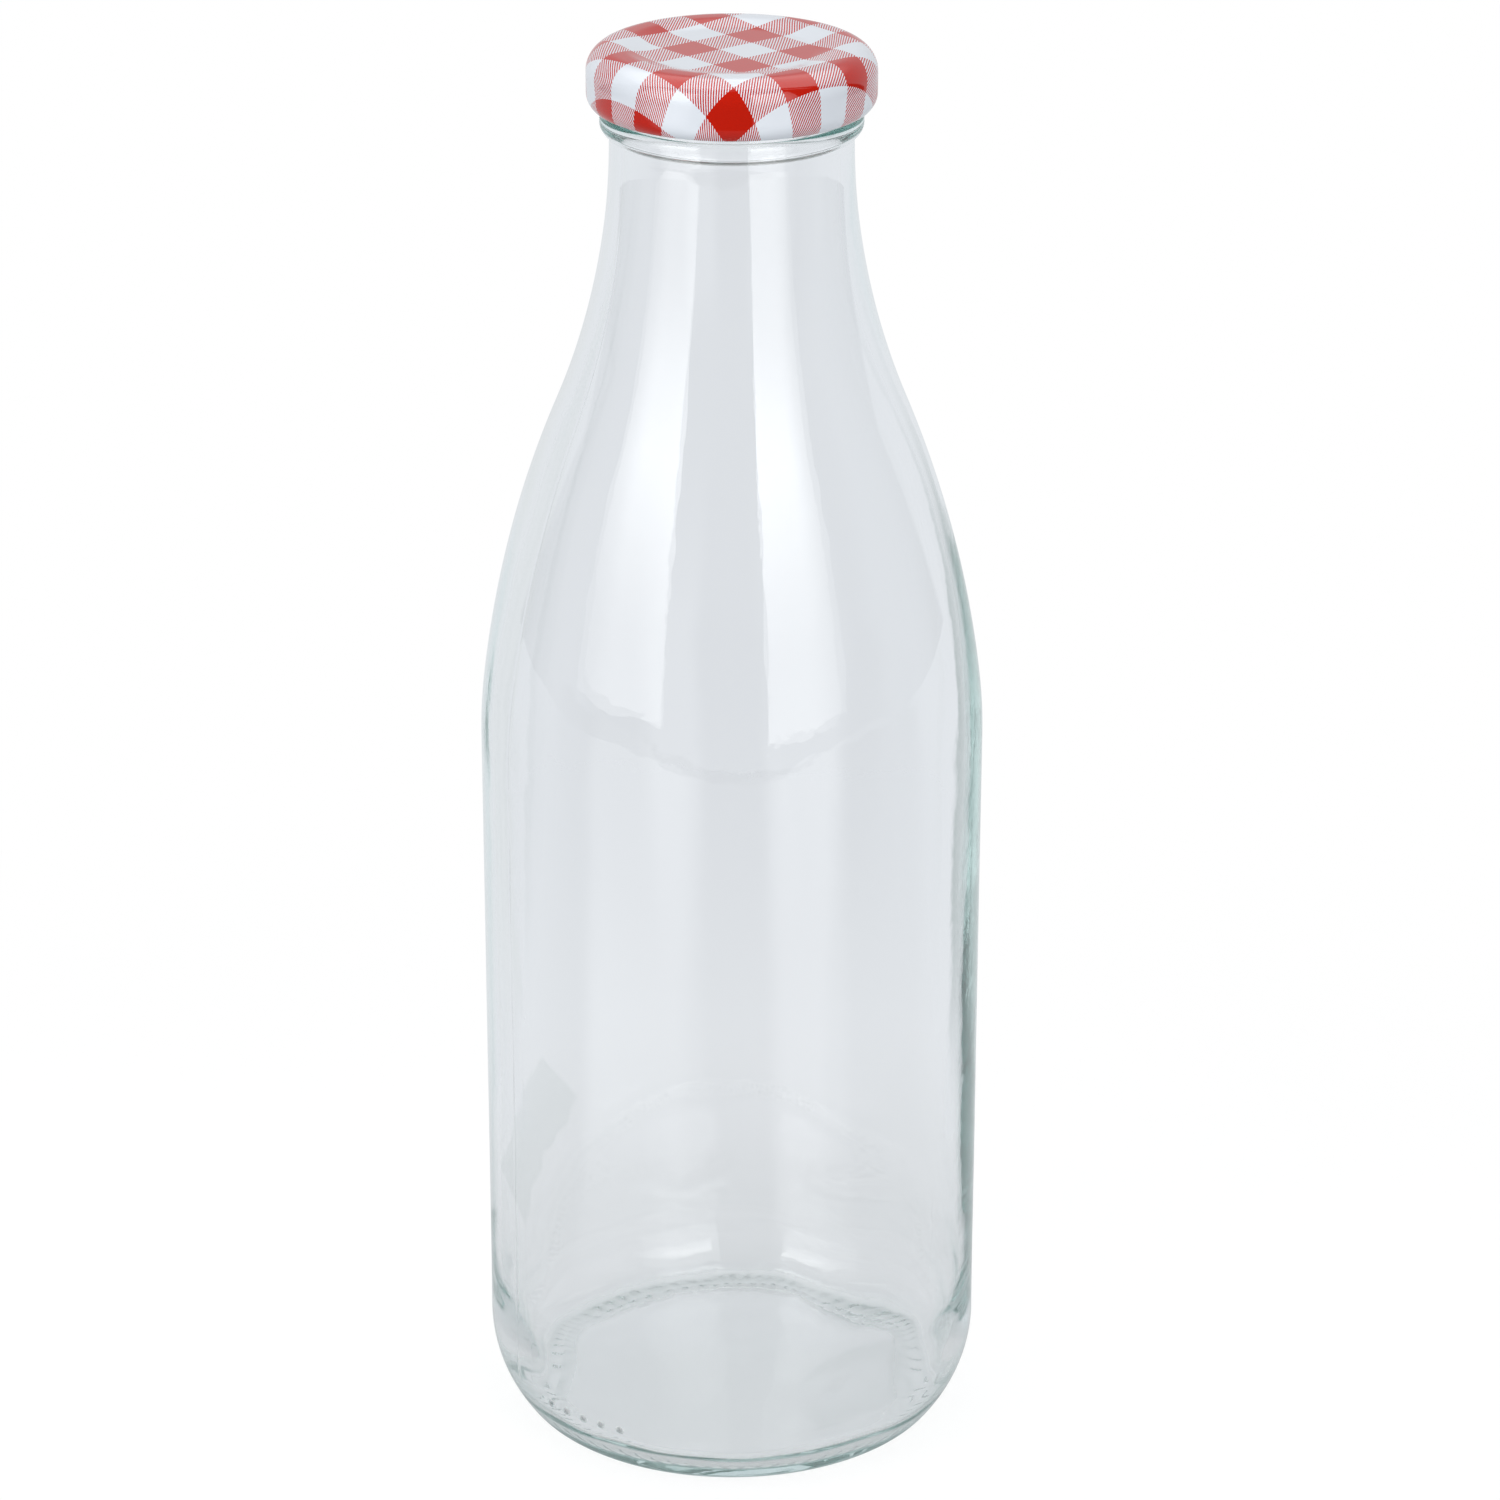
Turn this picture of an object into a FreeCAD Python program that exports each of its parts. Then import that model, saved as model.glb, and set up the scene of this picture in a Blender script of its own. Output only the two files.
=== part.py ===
import FreeCAD, Part
import math
import os
import Sketcher

# A one-litre glass milk bottle with a pressed twist-off lid.
# Millimetres, +Z up, the origin at the middle of the base ring on the table.
# The front of the bottle faces -Y.

# Each size: its name, its number, and what it is.
SIZES = [
    ("body_radius", "45.0", "outside of the straight body"),
    ("heel_inset", "8.35", "body radius less the outer radius of the base ring"),
    ("heel_radius", "24.8", "large round of the heel, tangent to the body"),
    ("toe_radius", "4.0", "small round of the heel, tangent to the base ring"),
    ("bearing_width", "3.2", "flat of the base ring that stands on the table"),
    ("push_up", "4.0", "rise of the base inside its ring"),
    ("base_thickness", "3.0", "glass at the middle of the base"),
    ("floor_edge", "3.0", "lowest point of the inside above the table"),
    ("inner_heel_radius", "10.0", "round between floor and wall inside"),
    ("wall", "2.5", "glass of body, shoulder and neck"),
    ("shoulder_start", "132.3", "height where the straight body ends"),
    ("shoulder_edge_radius", "88.6", "tighter round just above the body"),
    ("shoulder_edge_height", "10.2", "height of that round"),
    ("shoulder_radius", "191.5", "outward round of the shoulder"),
    ("neck_radius", "21.1", "outside of the neck under the bead"),
    ("neck_height", "243.0", "height of the crease under the bead"),
    ("bead_projection", "1.65", "bead outside the neck"),
    ("bead_under", "2.1", "height of the rounded underside of the bead"),
    ("bead_land", "0.4", "straight outside of the bead"),
    ("finish_step", "0.3", "finish wall outside the neck"),
    ("lip_round", "0.8", "round of both edges of the mouth"),
    ("thread_depth", "1.1", "thread crest outside the finish wall"),
    ("thread_root", "0.3", "thread section sunk into the finish wall"),
    ("thread_foot", "1.4", "height of the thread at its root"),
    ("thread_crest", "0.7", "height of the thread at its crest"),
    ("thread_under_slope", "0.15", "rise of the thread's underside from root to crest"),
    ("thread_count", "4", "threads round the finish"),
    ("thread_lead", "14.0", "rise of the thread in one turn"),
    ("thread_angle", "52.0", "degrees to the start of the thread's even run"),
    ("thread_run_angle", "53.0", "degrees of the even run"),
    ("stop_lead", "30.0", "rise in one turn of the steep lower end"),
    ("stop_run_angle", "24.0", "degrees of the steep lower end"),
    ("lid_gap", "1.1", "lower edge of the lid above the bead"),
    ("lid_height", "10.25", "lower edge of the lid to the top of its rim"),
    ("lid_sheet", "0.25", "tinplate with its lacquer"),
    ("lid_shoulder_radius", "4.3", "round from rim to skirt"),
    ("rim_flat", "2.1", "flat top of the raised rim"),
    ("rim_slope", "4.2", "width of the slope from rim to panel"),
    ("panel_depth", "0.92", "panel below the rim"),
    ("skirt_turn_radius", "2.9", "inward turn at the foot of the skirt"),
    ("skirt_bulge", "0.6", "skirt outside the rolled edge"),
    ("curl_radius", "0.8", "outside of the rolled edge"),
    ("curl_clearance", "0.3", "thread crest to the rolled edge"),
    ("lug_clearance", "0.25", "finish wall to the lugs"),
    ("lug_width", "6.4", "width of a lug"),
    ("lug_thickness", "0.85", "thickness of a lug"),
    ("lug_rise", "0.1", "underside of a lug above the lid's lower edge"),
    ("lug_angle", "75.0", "degrees to the middle of the first lug"),
    ("lug_play", "0.1", "lug to the underside of its thread"),
    ("seal_thickness", "1.1", "sealing ring between mouth and rim"),
    ("seal_side", "0.5", "upright outside of the sealing ring"),
    ("seal_gap", "0.1", "sealing ring to the curved walls of its channel"),
]

FULL_TURN = 360
# A sketch counts the points of a piece from 1, and its own axes down from -1.
START, END, CENTRE = range(1, 4)
ACROSS_AXIS, UP_AXIS = range(-1, -3, -1)
ORIGIN = ACROSS_AXIS


class Size:
    """A number to draw with, and the sheet expression that binds it."""

    def __init__(self, value, text):
        self.value = value
        self.text = text

    def __add__(self, other):
        return Size(self.value + number(other), f"({self.text} + {text(other)})")

    def __sub__(self, other):
        return Size(self.value - number(other), f"({self.text} - {text(other)})")

    def __mul__(self, other):
        return Size(self.value * number(other), f"({self.text} * {text(other)})")

    def __truediv__(self, other):
        return Size(self.value / number(other), f"({self.text} / {text(other)})")


def number(size):
    return size.value if isinstance(size, Size) else size


def text(size):
    return size.text if isinstance(size, Size) else repr(size)


class Outline:
    """A closed outline in a sketch, drawn from point to point."""

    def __init__(self, sketch, across, up):
        self.sketch = sketch
        self.point = FreeCAD.Vector(number(across), number(up), 0)
        self.pieces = []

    def line(self, across, up, smooth=False):
        """Add a straight piece to a point, and return its place in the outline."""
        end = FreeCAD.Vector(number(across), number(up), 0)
        geometry = self.sketch.addGeometry(Part.LineSegment(self.point, end), False)
        return self.add(geometry, START, END, end, smooth)

    def arc(self, across, up, centre_across, centre_up, clockwise=False, smooth=True):
        """Add a round piece to a point about a centre, and return its place in the outline."""
        end = FreeCAD.Vector(number(across), number(up), 0)
        centre = FreeCAD.Vector(number(centre_across), number(centre_up), 0)
        first, last = (end, self.point) if clockwise else (self.point, end)
        from_angle = math.atan2(first.y - centre.y, first.x - centre.x)
        to_angle = math.atan2(last.y - centre.y, last.x - centre.x)
        if to_angle <= from_angle:
            to_angle += 2 * math.pi
        circle = Part.Circle(centre, FreeCAD.Vector(0, 0, 1), first.distanceToPoint(centre))
        geometry = self.sketch.addGeometry(Part.ArcOfCircle(circle, from_angle, to_angle), False)
        ends = (END, START) if clockwise else (START, END)
        return self.add(geometry, *ends, end, smooth)

    def add(self, geometry, first, last, end, smooth):
        if self.pieces:
            self.join(self.pieces[-1], (geometry, first, last), smooth)
        self.pieces.append((geometry, first, last))
        self.point = end
        return len(self.pieces) - 1

    def close(self):
        self.join(self.pieces[-1], self.pieces[0], False)

    def join(self, before, after, smooth):
        kind = "Tangent" if smooth else "Coincident"
        self.rule(kind, before[0], before[2], after[0], after[1])

    def rule(self, *words):
        return self.sketch.addConstraint(Sketcher.Constraint(*words))

    def point_of(self, piece, place):
        geometry, first, last = self.pieces[piece]
        return geometry, {START: first, END: last, CENTRE: CENTRE}[place]

    def bind(self, constraint, size):
        self.sketch.setExpression(f"Constraints[{constraint}]", size.text)

    def across(self, piece, place, size):
        """Hold a point of a piece at a distance from the upright axis."""
        point = self.point_of(piece, place)
        self.bind(self.rule("DistanceX", ORIGIN, START, *point, size.value), size)

    def up(self, piece, place, size):
        """Hold a point of a piece at a height."""
        point = self.point_of(piece, place)
        self.bind(self.rule("DistanceY", ORIGIN, START, *point, size.value), size)

    def radius(self, piece, size):
        self.bind(self.rule("Radius", self.pieces[piece][0], size.value), size)

    def level(self, piece):
        self.rule("Horizontal", self.pieces[piece][0])

    def upright(self, piece):
        self.rule("Vertical", self.pieces[piece][0])

    def same_height(self, piece, place, other_place):
        self.rule("Horizontal", *self.point_of(piece, place), *self.point_of(piece, other_place))

    def same_radius(self, piece, place, other_place):
        self.rule("Vertical", *self.point_of(piece, place), *self.point_of(piece, other_place))

    def same_centre(self, piece, other):
        self.rule("Coincident", *self.point_of(piece, CENTRE), *self.point_of(other, CENTRE))

    def on_axis(self, piece, place, axis=UP_AXIS):
        self.rule("PointOnObject", *self.point_of(piece, place), axis)


def make_sheet(document):
    sheet = document.addObject("Spreadsheet::Sheet", "Sizes")
    for row, (name, value, meaning) in enumerate(SIZES, start=1):
        sheet.set(f"A{row}", value)
        sheet.setAlias(f"A{row}", name)
        sheet.set(f"B{row}", meaning)
    document.recompute()
    return {name: Size(float(sheet.get(name)), f"Sizes.{name}") for name, _, _ in SIZES}


def make_body(document, label):
    body = document.addObject("PartDesign::Body", label)
    body.Label = label
    body.Placement = FreeCAD.Placement()
    return body


def origin_feature(body, role):
    return next(item for item in body.Origin.OriginFeatures if item.Role == role)


def make_sketch(body, name, plane):
    sketch = body.newObject("Sketcher::SketchObject", name)
    sketch.AttachmentSupport = [(origin_feature(body, plane), "")]
    sketch.MapMode = "FlatFace"
    return sketch


def revolve(body, sketch, name):
    feature = body.newObject("PartDesign::Revolution", name)
    feature.Profile = sketch
    feature.ReferenceAxis = (sketch, ["V_Axis"])
    feature.Angle = FULL_TURN
    return feature


def ring_of(body, features, name, count):
    """Repeat features evenly round the bottle's axis."""
    pattern = body.newObject("PartDesign::PolarPattern", name)
    pattern.Originals = features
    pattern.Axis = (origin_feature(body, "Z_Axis"), [""])
    pattern.Angle = FULL_TURN
    pattern.setExpression("Occurrences", count.text)
    body.Tip = pattern
    return pattern


def derive(size):
    """Add the places and radii that follow from the driving sizes."""
    size["bearing_radius"] = size["body_radius"] - size["heel_inset"]
    size["bore_radius"] = size["neck_radius"] - size["wall"]
    size["bead_radius"] = size["neck_radius"] + size["bead_projection"]
    size["finish_radius"] = size["neck_radius"] + size["finish_step"]
    size["crest_radius"] = size["finish_radius"] + size["thread_depth"]
    size["bead_middle"] = size["neck_height"] + size["bead_under"]
    size["bead_shoulder"] = size["bead_middle"] + size["bead_land"]
    size["bead_top"] = size["bead_shoulder"] + (size["bead_radius"] - size["finish_radius"])
    size["lid_bottom"] = size["bead_top"] + size["lid_gap"]
    size["lid_top"] = size["lid_bottom"] + size["lid_height"]
    size["rim_under"] = size["lid_top"] - size["lid_sheet"]
    size["mouth_top"] = size["rim_under"] - size["seal_thickness"]
    size["curl_middle"] = size["crest_radius"] + size["curl_clearance"] + size["curl_radius"]
    size["lid_radius"] = size["curl_middle"] + size["curl_radius"] + size["skirt_bulge"]
    size["rim_outer"] = size["lid_radius"] - size["lid_shoulder_radius"]
    size["rim_inner"] = size["rim_outer"] - size["rim_flat"]
    size["panel_radius"] = size["rim_inner"] - size["rim_slope"]
    size["panel_top"] = size["lid_top"] - size["panel_depth"]
    size["panel_under"] = size["panel_top"] - size["lid_sheet"]
    size["lug_inner"] = size["finish_radius"] + size["lug_clearance"]
    size["lug_bottom"] = size["lid_bottom"] + size["lug_rise"]
    size["lug_top"] = size["lug_bottom"] + size["lug_thickness"]
    # The even run of each thread passes over its lug, and rises across the width of the lug.
    across_lug = size["thread_lead"] * size["lug_width"] / (size["finish_radius"] * (4 * math.pi))
    to_lug = size["thread_lead"] * (size["lug_angle"] - size["thread_angle"]) / FULL_TURN
    size["thread_under"] = size["lug_top"] + size["lug_play"] + across_lug - to_lug


def s_curve(start_radius, start_height, edge_radius, edge_height,
            round_radius, end_radius, end_height):
    """Points and centres of a shoulder: two outward rounds, then one inward round up to the neck."""
    edge_turn = math.asin((edge_height - start_height) / edge_radius)
    edge = (start_radius - edge_radius * (1 - math.cos(edge_turn)), edge_height)
    edge_centre = (start_radius - edge_radius, start_height)
    round_centre = (edge[0] - round_radius * math.cos(edge_turn),
                    edge[1] - round_radius * math.sin(edge_turn))
    inward = edge[0] - end_radius + round_radius * (1 - math.cos(edge_turn))
    rise = end_height - round_centre[1]
    both_radii = (inward ** 2 + rise ** 2) / (2 * inward)
    turn = math.atan2(rise, both_radii - inward)
    middle = (round_centre[0] + round_radius * math.cos(turn),
              round_centre[1] + round_radius * math.sin(turn))
    neck_centre = (end_radius + both_radii - round_radius, end_height)
    return edge, edge_centre, middle, round_centre, neck_centre


def bottle_section(body, size):
    """Half section of the glass, from the underside of the base up outside and down inside."""
    sketch = make_sketch(body, "glass_section", "XZ_Plane")
    body_radius, heel, toe = size["body_radius"], size["heel_radius"], size["toe_radius"]
    bearing_inner = size["bearing_radius"] - size["bearing_width"]
    wall_radius = body_radius - size["wall"]
    shoulder_edge = size["shoulder_start"] + size["shoulder_edge_height"]
    inner_edge_radius = size["shoulder_edge_radius"] - size["wall"]
    inner_edge = size["shoulder_start"] + (
        size["shoulder_edge_height"] * inner_edge_radius / size["shoulder_edge_radius"])
    inner_shoulder_radius = size["shoulder_radius"] - size["wall"]
    inner_heel = size["inner_heel_radius"]
    inner_heel_top = size["floor_edge"] + inner_heel
    floor_top = size["push_up"] + size["base_thickness"]
    lip = size["lip_round"]

    # The push-up is a shallow dome through the inner edge of the base ring.
    rise = size["push_up"].value
    dome_radius = (bearing_inner.value ** 2 + rise ** 2) / (2 * rise)
    # The two rounds of the heel meet where their centres line up.
    heel_middle = body_radius.value - heel.value
    heel_reach = size["bearing_radius"].value - heel_middle
    heel_rise = math.sqrt((heel.value - toe.value) ** 2 - heel_reach ** 2)
    heel_top = toe.value + heel_rise
    heel_turn = math.atan2(heel_rise, heel_reach)
    heel_join = (heel_middle + heel.value * math.cos(heel_turn),
                 heel_top - heel.value * math.sin(heel_turn))
    outside = s_curve(body_radius.value, size["shoulder_start"].value, size["shoulder_edge_radius"].value,
                      shoulder_edge.value, size["shoulder_radius"].value, size["neck_radius"].value,
                      size["neck_height"].value)
    inside = s_curve(wall_radius.value, size["shoulder_start"].value, inner_edge_radius.value,
                     inner_edge.value, inner_shoulder_radius.value, size["bore_radius"].value,
                     size["neck_height"].value)
    bead_radius_under = (size["bead_projection"].value ** 2 + size["bead_under"].value ** 2) / (
        2 * size["bead_projection"].value)
    # The dome of the floor inside touches the inner heel's round.
    reach = wall_radius.value - inner_heel.value
    drop = inner_heel_top.value - floor_top.value
    floor_radius = (reach ** 2 + drop ** 2 - inner_heel.value ** 2) / (2 * (inner_heel.value - drop))
    floor_middle = floor_top.value - floor_radius
    share = floor_radius / (floor_radius + inner_heel.value)
    floor_join = (reach * share, floor_middle + (inner_heel_top.value - floor_middle) * share)

    path = Outline(sketch, 0, size["push_up"])
    dome = path.arc(bearing_inner, 0, 0, size["push_up"].value - dome_radius, clockwise=True)
    ring = path.line(size["bearing_radius"], 0)
    small_heel = path.arc(*heel_join, size["bearing_radius"], toe)
    large_heel = path.arc(body_radius, heel_top, heel_middle, heel_top)
    outer_wall = path.line(body_radius, size["shoulder_start"], smooth=True)
    outer_edge = path.arc(*outside[0], *outside[1])
    outer_shoulder = path.arc(*outside[2], *outside[3])
    outer_neck = path.arc(size["neck_radius"], size["neck_height"], *outside[4], clockwise=True)
    bead_under = path.arc(size["bead_radius"], size["bead_middle"],
                          size["bead_radius"].value - bead_radius_under, size["bead_middle"], smooth=False)
    bead_land = path.line(size["bead_radius"], size["bead_shoulder"], smooth=True)
    bead_top = path.arc(size["finish_radius"], size["bead_top"],
                        size["finish_radius"], size["bead_shoulder"])
    finish_wall = path.line(size["finish_radius"], size["mouth_top"] - lip)
    outer_lip = path.arc(size["finish_radius"] - lip, size["mouth_top"],
                         size["finish_radius"] - lip, size["mouth_top"] - lip)
    mouth = path.line(size["bore_radius"] + lip, size["mouth_top"], smooth=True)
    inner_lip = path.arc(size["bore_radius"], size["mouth_top"] - lip,
                         size["bore_radius"] + lip, size["mouth_top"] - lip)
    bore = path.line(size["bore_radius"], size["neck_height"], smooth=True)
    inner_neck = path.arc(*inside[2], *inside[4])
    inner_shoulder = path.arc(*inside[0], *inside[3], clockwise=True)
    inner_edge_arc = path.arc(wall_radius, size["shoulder_start"], *inside[1], clockwise=True)
    inner_wall = path.line(wall_radius, inner_heel_top, smooth=True)
    inner_heel_arc = path.arc(*floor_join, reach, inner_heel_top, clockwise=True)
    floor = path.arc(0, floor_top, 0, floor_middle)
    path.line(0, size["push_up"])
    path.close()

    path.on_axis(dome, CENTRE)
    path.on_axis(dome, START)
    path.up(dome, START, size["push_up"])
    path.level(ring)
    path.on_axis(ring, START, ACROSS_AXIS)
    path.across(ring, START, bearing_inner)
    path.across(ring, END, size["bearing_radius"])
    path.radius(small_heel, toe)
    path.radius(large_heel, heel)
    path.upright(outer_wall)
    path.across(outer_wall, START, body_radius)
    path.up(outer_wall, END, size["shoulder_start"])
    path.radius(outer_edge, size["shoulder_edge_radius"])
    path.up(outer_edge, END, shoulder_edge)
    path.radius(outer_shoulder, size["shoulder_radius"])
    path.across(outer_neck, END, size["neck_radius"])
    path.up(outer_neck, END, size["neck_height"])
    path.same_height(outer_neck, CENTRE, END)
    path.upright(bead_land)
    path.across(bead_land, START, size["bead_radius"])
    path.up(bead_land, START, size["bead_middle"])
    path.up(bead_land, END, size["bead_shoulder"])
    path.across(bead_top, END, size["finish_radius"])
    path.same_radius(bead_top, CENTRE, END)
    path.upright(finish_wall)
    path.radius(outer_lip, lip)
    path.level(mouth)
    path.up(mouth, START, size["mouth_top"])
    path.radius(inner_lip, lip)
    path.upright(bore)
    path.across(bore, START, size["bore_radius"])
    path.up(bore, END, size["neck_height"])
    path.radius(inner_shoulder, inner_shoulder_radius)
    path.radius(inner_edge_arc, inner_edge_radius)
    path.up(inner_edge_arc, START, inner_edge)
    path.upright(inner_wall)
    path.across(inner_wall, START, wall_radius)
    path.up(inner_wall, START, size["shoulder_start"])
    path.radius(inner_heel_arc, inner_heel)
    path.up(inner_heel_arc, START, inner_heel_top)
    path.on_axis(floor, CENTRE)
    path.on_axis(floor, END)
    path.up(floor, END, floor_top)
    return sketch


def thread_section(body, size):
    """Section of a thread where its even run meets its steep lower end."""
    sketch = make_sketch(body, "thread_section", "XZ_Plane")
    sketch.AttachmentOffset = FreeCAD.Placement(
        FreeCAD.Vector(), FreeCAD.Rotation(FreeCAD.Vector(0, 1, 0), size["thread_angle"].value))
    sketch.setExpression("AttachmentOffset.Rotation.Angle", size["thread_angle"].text)
    root = size["finish_radius"] - size["thread_root"]
    crest_low = size["thread_under"] + size["thread_under_slope"]
    crest_high = crest_low + size["thread_crest"]
    root_high = size["thread_under"] + size["thread_foot"]
    path = Outline(sketch, root, size["thread_under"])
    underside = path.line(size["crest_radius"], crest_low)
    crest = path.line(size["crest_radius"], crest_high)
    upper_side = path.line(root, root_high)
    inside = path.line(root, size["thread_under"])
    path.close()
    path.upright(crest)
    path.upright(inside)
    path.across(underside, START, root)
    path.up(underside, START, size["thread_under"])
    path.across(crest, START, size["crest_radius"])
    path.up(crest, START, crest_low)
    path.up(crest, END, crest_high)
    path.up(upper_side, END, root_high)
    return sketch


def thread_part(body, sketch, name, lead, run, downward):
    """One helical part of a thread, up or down from the section."""
    helix = body.newObject("PartDesign::AdditiveHelix", name)
    helix.Profile = sketch
    helix.ReferenceAxis = (sketch, ["V_Axis"])
    helix.Mode = "pitch-turns-angle"
    helix.Reversed = downward
    helix.setExpression("Pitch", lead.text)
    helix.setExpression("Turns", (run / FULL_TURN).text)
    return helix


def make_bottle(document, size):
    body = make_body(document, "bottle")
    revolve(body, bottle_section(body, size), "glass")
    document.recompute()
    sketch = thread_section(body, size)
    even_run = thread_part(body, sketch, "thread_run", size["thread_lead"], size["thread_run_angle"], False)
    steep_end = thread_part(body, sketch, "thread_stop", size["stop_lead"], size["stop_run_angle"], True)
    document.recompute()
    ring_of(body, [even_run, steep_end], "threads", size["thread_count"])
    return body


def lid_section(body, size):
    """Half section of the pressed sheet, along its outside and back along its inside."""
    sketch = make_sketch(body, "sheet_section", "XZ_Plane")
    sheet, shoulder = size["lid_sheet"], size["lid_shoulder_radius"]
    turn_radius, curl = size["skirt_turn_radius"], size["curl_radius"]
    lid_radius, rim_outer = size["lid_radius"], size["rim_outer"]
    skirt_inner = lid_radius - sheet
    shoulder_foot = size["lid_top"] - shoulder
    curl_height = size["lid_bottom"] + curl
    curl_end = curl_height + curl

    # The skirt turns inwards until it meets the roll of its edge.
    turn = math.acos((curl.value + size["skirt_bulge"].value - turn_radius.value)
                     / (curl.value - turn_radius.value))
    direction = (math.cos(turn), -math.sin(turn))
    turn_middle = lid_radius.value - turn_radius.value
    turn_height = curl_height.value + (turn_radius.value - curl.value) * math.sin(turn)
    outer_join = (size["curl_middle"].value + curl.value * direction[0],
                  curl_height.value + curl.value * direction[1])
    inner_join = (size["curl_middle"].value + (curl - sheet).value * direction[0],
                  curl_height.value + (curl - sheet).value * direction[1])

    path = Outline(sketch, 0, size["panel_top"])
    panel = path.line(size["panel_radius"], size["panel_top"])
    slope = path.line(size["rim_inner"], size["lid_top"])
    rim = path.line(rim_outer, size["lid_top"])
    outer_shoulder = path.arc(lid_radius, shoulder_foot, rim_outer, shoulder_foot, clockwise=True)
    skirt = path.line(lid_radius, turn_height, smooth=True)
    outer_turn = path.arc(*outer_join, turn_middle, turn_height, clockwise=True)
    outer_curl = path.arc(size["curl_middle"], curl_end,
                          size["curl_middle"], curl_height, clockwise=True)
    edge = path.line(size["curl_middle"], curl_end - sheet)
    inner_curl = path.arc(*inner_join, size["curl_middle"], curl_height, smooth=False)
    inner_turn = path.arc(skirt_inner, turn_height, turn_middle, turn_height)
    inner_skirt = path.line(skirt_inner, shoulder_foot, smooth=True)
    inner_shoulder = path.arc(rim_outer, size["rim_under"], rim_outer, shoulder_foot)
    rim_under = path.line(size["rim_inner"], size["rim_under"], smooth=True)
    path.line(size["panel_radius"], size["panel_under"])
    panel_under = path.line(0, size["panel_under"])
    path.line(0, size["panel_top"])
    path.close()

    path.on_axis(panel, START)
    path.up(panel, START, size["panel_top"])
    path.level(panel)
    path.across(panel, END, size["panel_radius"])
    path.across(slope, END, size["rim_inner"])
    path.up(slope, END, size["lid_top"])
    path.level(rim)
    path.radius(outer_shoulder, shoulder)
    path.upright(skirt)
    path.across(skirt, START, lid_radius)
    path.radius(outer_turn, turn_radius)
    path.across(outer_curl, CENTRE, size["curl_middle"])
    path.up(outer_curl, CENTRE, curl_height)
    path.radius(outer_curl, curl)
    path.same_radius(outer_curl, CENTRE, END)
    path.upright(edge)
    path.same_centre(inner_curl, outer_curl)
    path.radius(inner_curl, curl - sheet)
    path.radius(inner_turn, turn_radius - sheet)
    path.upright(inner_skirt)
    path.across(inner_skirt, START, skirt_inner)
    path.radius(inner_shoulder, shoulder - sheet)
    path.level(rim_under)
    path.up(rim_under, START, size["rim_under"])
    path.across(rim_under, END, size["rim_inner"])
    path.level(panel_under)
    path.across(panel_under, START, size["panel_radius"])
    path.up(panel_under, START, size["panel_under"])
    path.on_axis(panel_under, END)
    return sketch


def lug_outline(body, size):
    """Plan of one lug, from the finish wall's clearance to the middle of the rolled edge."""
    sketch = make_sketch(body, "lug_outline", "XY_Plane")
    sketch.AttachmentOffset = FreeCAD.Placement(
        FreeCAD.Vector(0, 0, size["lug_bottom"].value),
        FreeCAD.Rotation(FreeCAD.Vector(0, 0, 1), size["lug_angle"].value))
    sketch.setExpression("AttachmentOffset.Base.z", size["lug_bottom"].text)
    sketch.setExpression("AttachmentOffset.Rotation.Angle", size["lug_angle"].text)
    half = size["lug_width"] / 2
    other_half = half * -1
    path = Outline(sketch, size["lug_inner"], other_half)
    near_side = path.line(size["curl_middle"], other_half)
    back = path.line(size["curl_middle"], half)
    far_side = path.line(size["lug_inner"], half)
    front = path.line(size["lug_inner"], other_half)
    path.close()
    for side in (near_side, far_side):
        path.level(side)
    for end in (back, front):
        path.upright(end)
    path.across(near_side, START, size["lug_inner"])
    path.across(near_side, END, size["curl_middle"])
    path.up(back, START, other_half)
    path.up(back, END, half)
    return sketch


def make_lid(document, size):
    body = make_body(document, "lid_shell")
    revolve(body, lid_section(body, size), "pressed_sheet")
    document.recompute()
    lug = body.newObject("PartDesign::Pad", "lug")
    lug.Profile = lug_outline(body, size)
    lug.setExpression("Length", size["lug_thickness"].text)
    document.recompute()
    ring_of(body, [lug], "lugs", size["thread_count"])
    return body


def make_seal(document, size):
    """The ring of soft compound between the mouth of the bottle and the rim of the lid."""
    body = make_body(document, "sealing_ring")
    sketch = make_sketch(body, "seal_section", "XZ_Plane")
    inner = size["rim_inner"] + size["seal_gap"]
    upper_outer = size["rim_outer"] - size["seal_gap"]
    side_top = size["mouth_top"] + size["seal_side"]
    path = Outline(sketch, inner, size["mouth_top"])
    under = path.line(size["finish_radius"], size["mouth_top"])
    outside = path.line(size["finish_radius"], side_top)
    path.line(upper_outer, size["rim_under"])
    upper = path.line(inner, size["rim_under"])
    inside = path.line(inner, size["mouth_top"])
    path.close()
    path.level(under)
    path.upright(outside)
    path.level(upper)
    path.upright(inside)
    path.across(under, START, inner)
    path.up(under, START, size["mouth_top"])
    path.across(outside, START, size["finish_radius"])
    path.up(outside, END, side_top)
    path.across(upper, START, upper_outer)
    path.up(upper, START, size["rim_under"])
    revolve(body, sketch, "compound")
    return body


def check(document, bodies):
    failed = [item.Name for item in document.Objects if {"Invalid", "Error"} & set(item.State)]
    if failed:
        raise RuntimeError(f"not rebuilt: {failed}")
    for body in bodies:
        if body.Shape.isNull() or not body.Shape.isValid() or len(body.Shape.Solids) != 1:
            raise RuntimeError(f"{body.Label} is not one sound solid")


def main():
    document = FreeCAD.newDocument("milk_bottle")
    size = make_sheet(document)
    derive(size)
    bodies = [make_bottle(document, size), make_lid(document, size), make_seal(document, size)]
    document.recompute()
    check(document, bodies)
    os.makedirs("parts", exist_ok=True)
    for body in bodies:
        body.Shape.exportStep(f"parts/{body.Label}.step")
        print(body.Label, "volume", round(body.Shape.Volume, 1), "mm3")


main()
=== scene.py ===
import math

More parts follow.
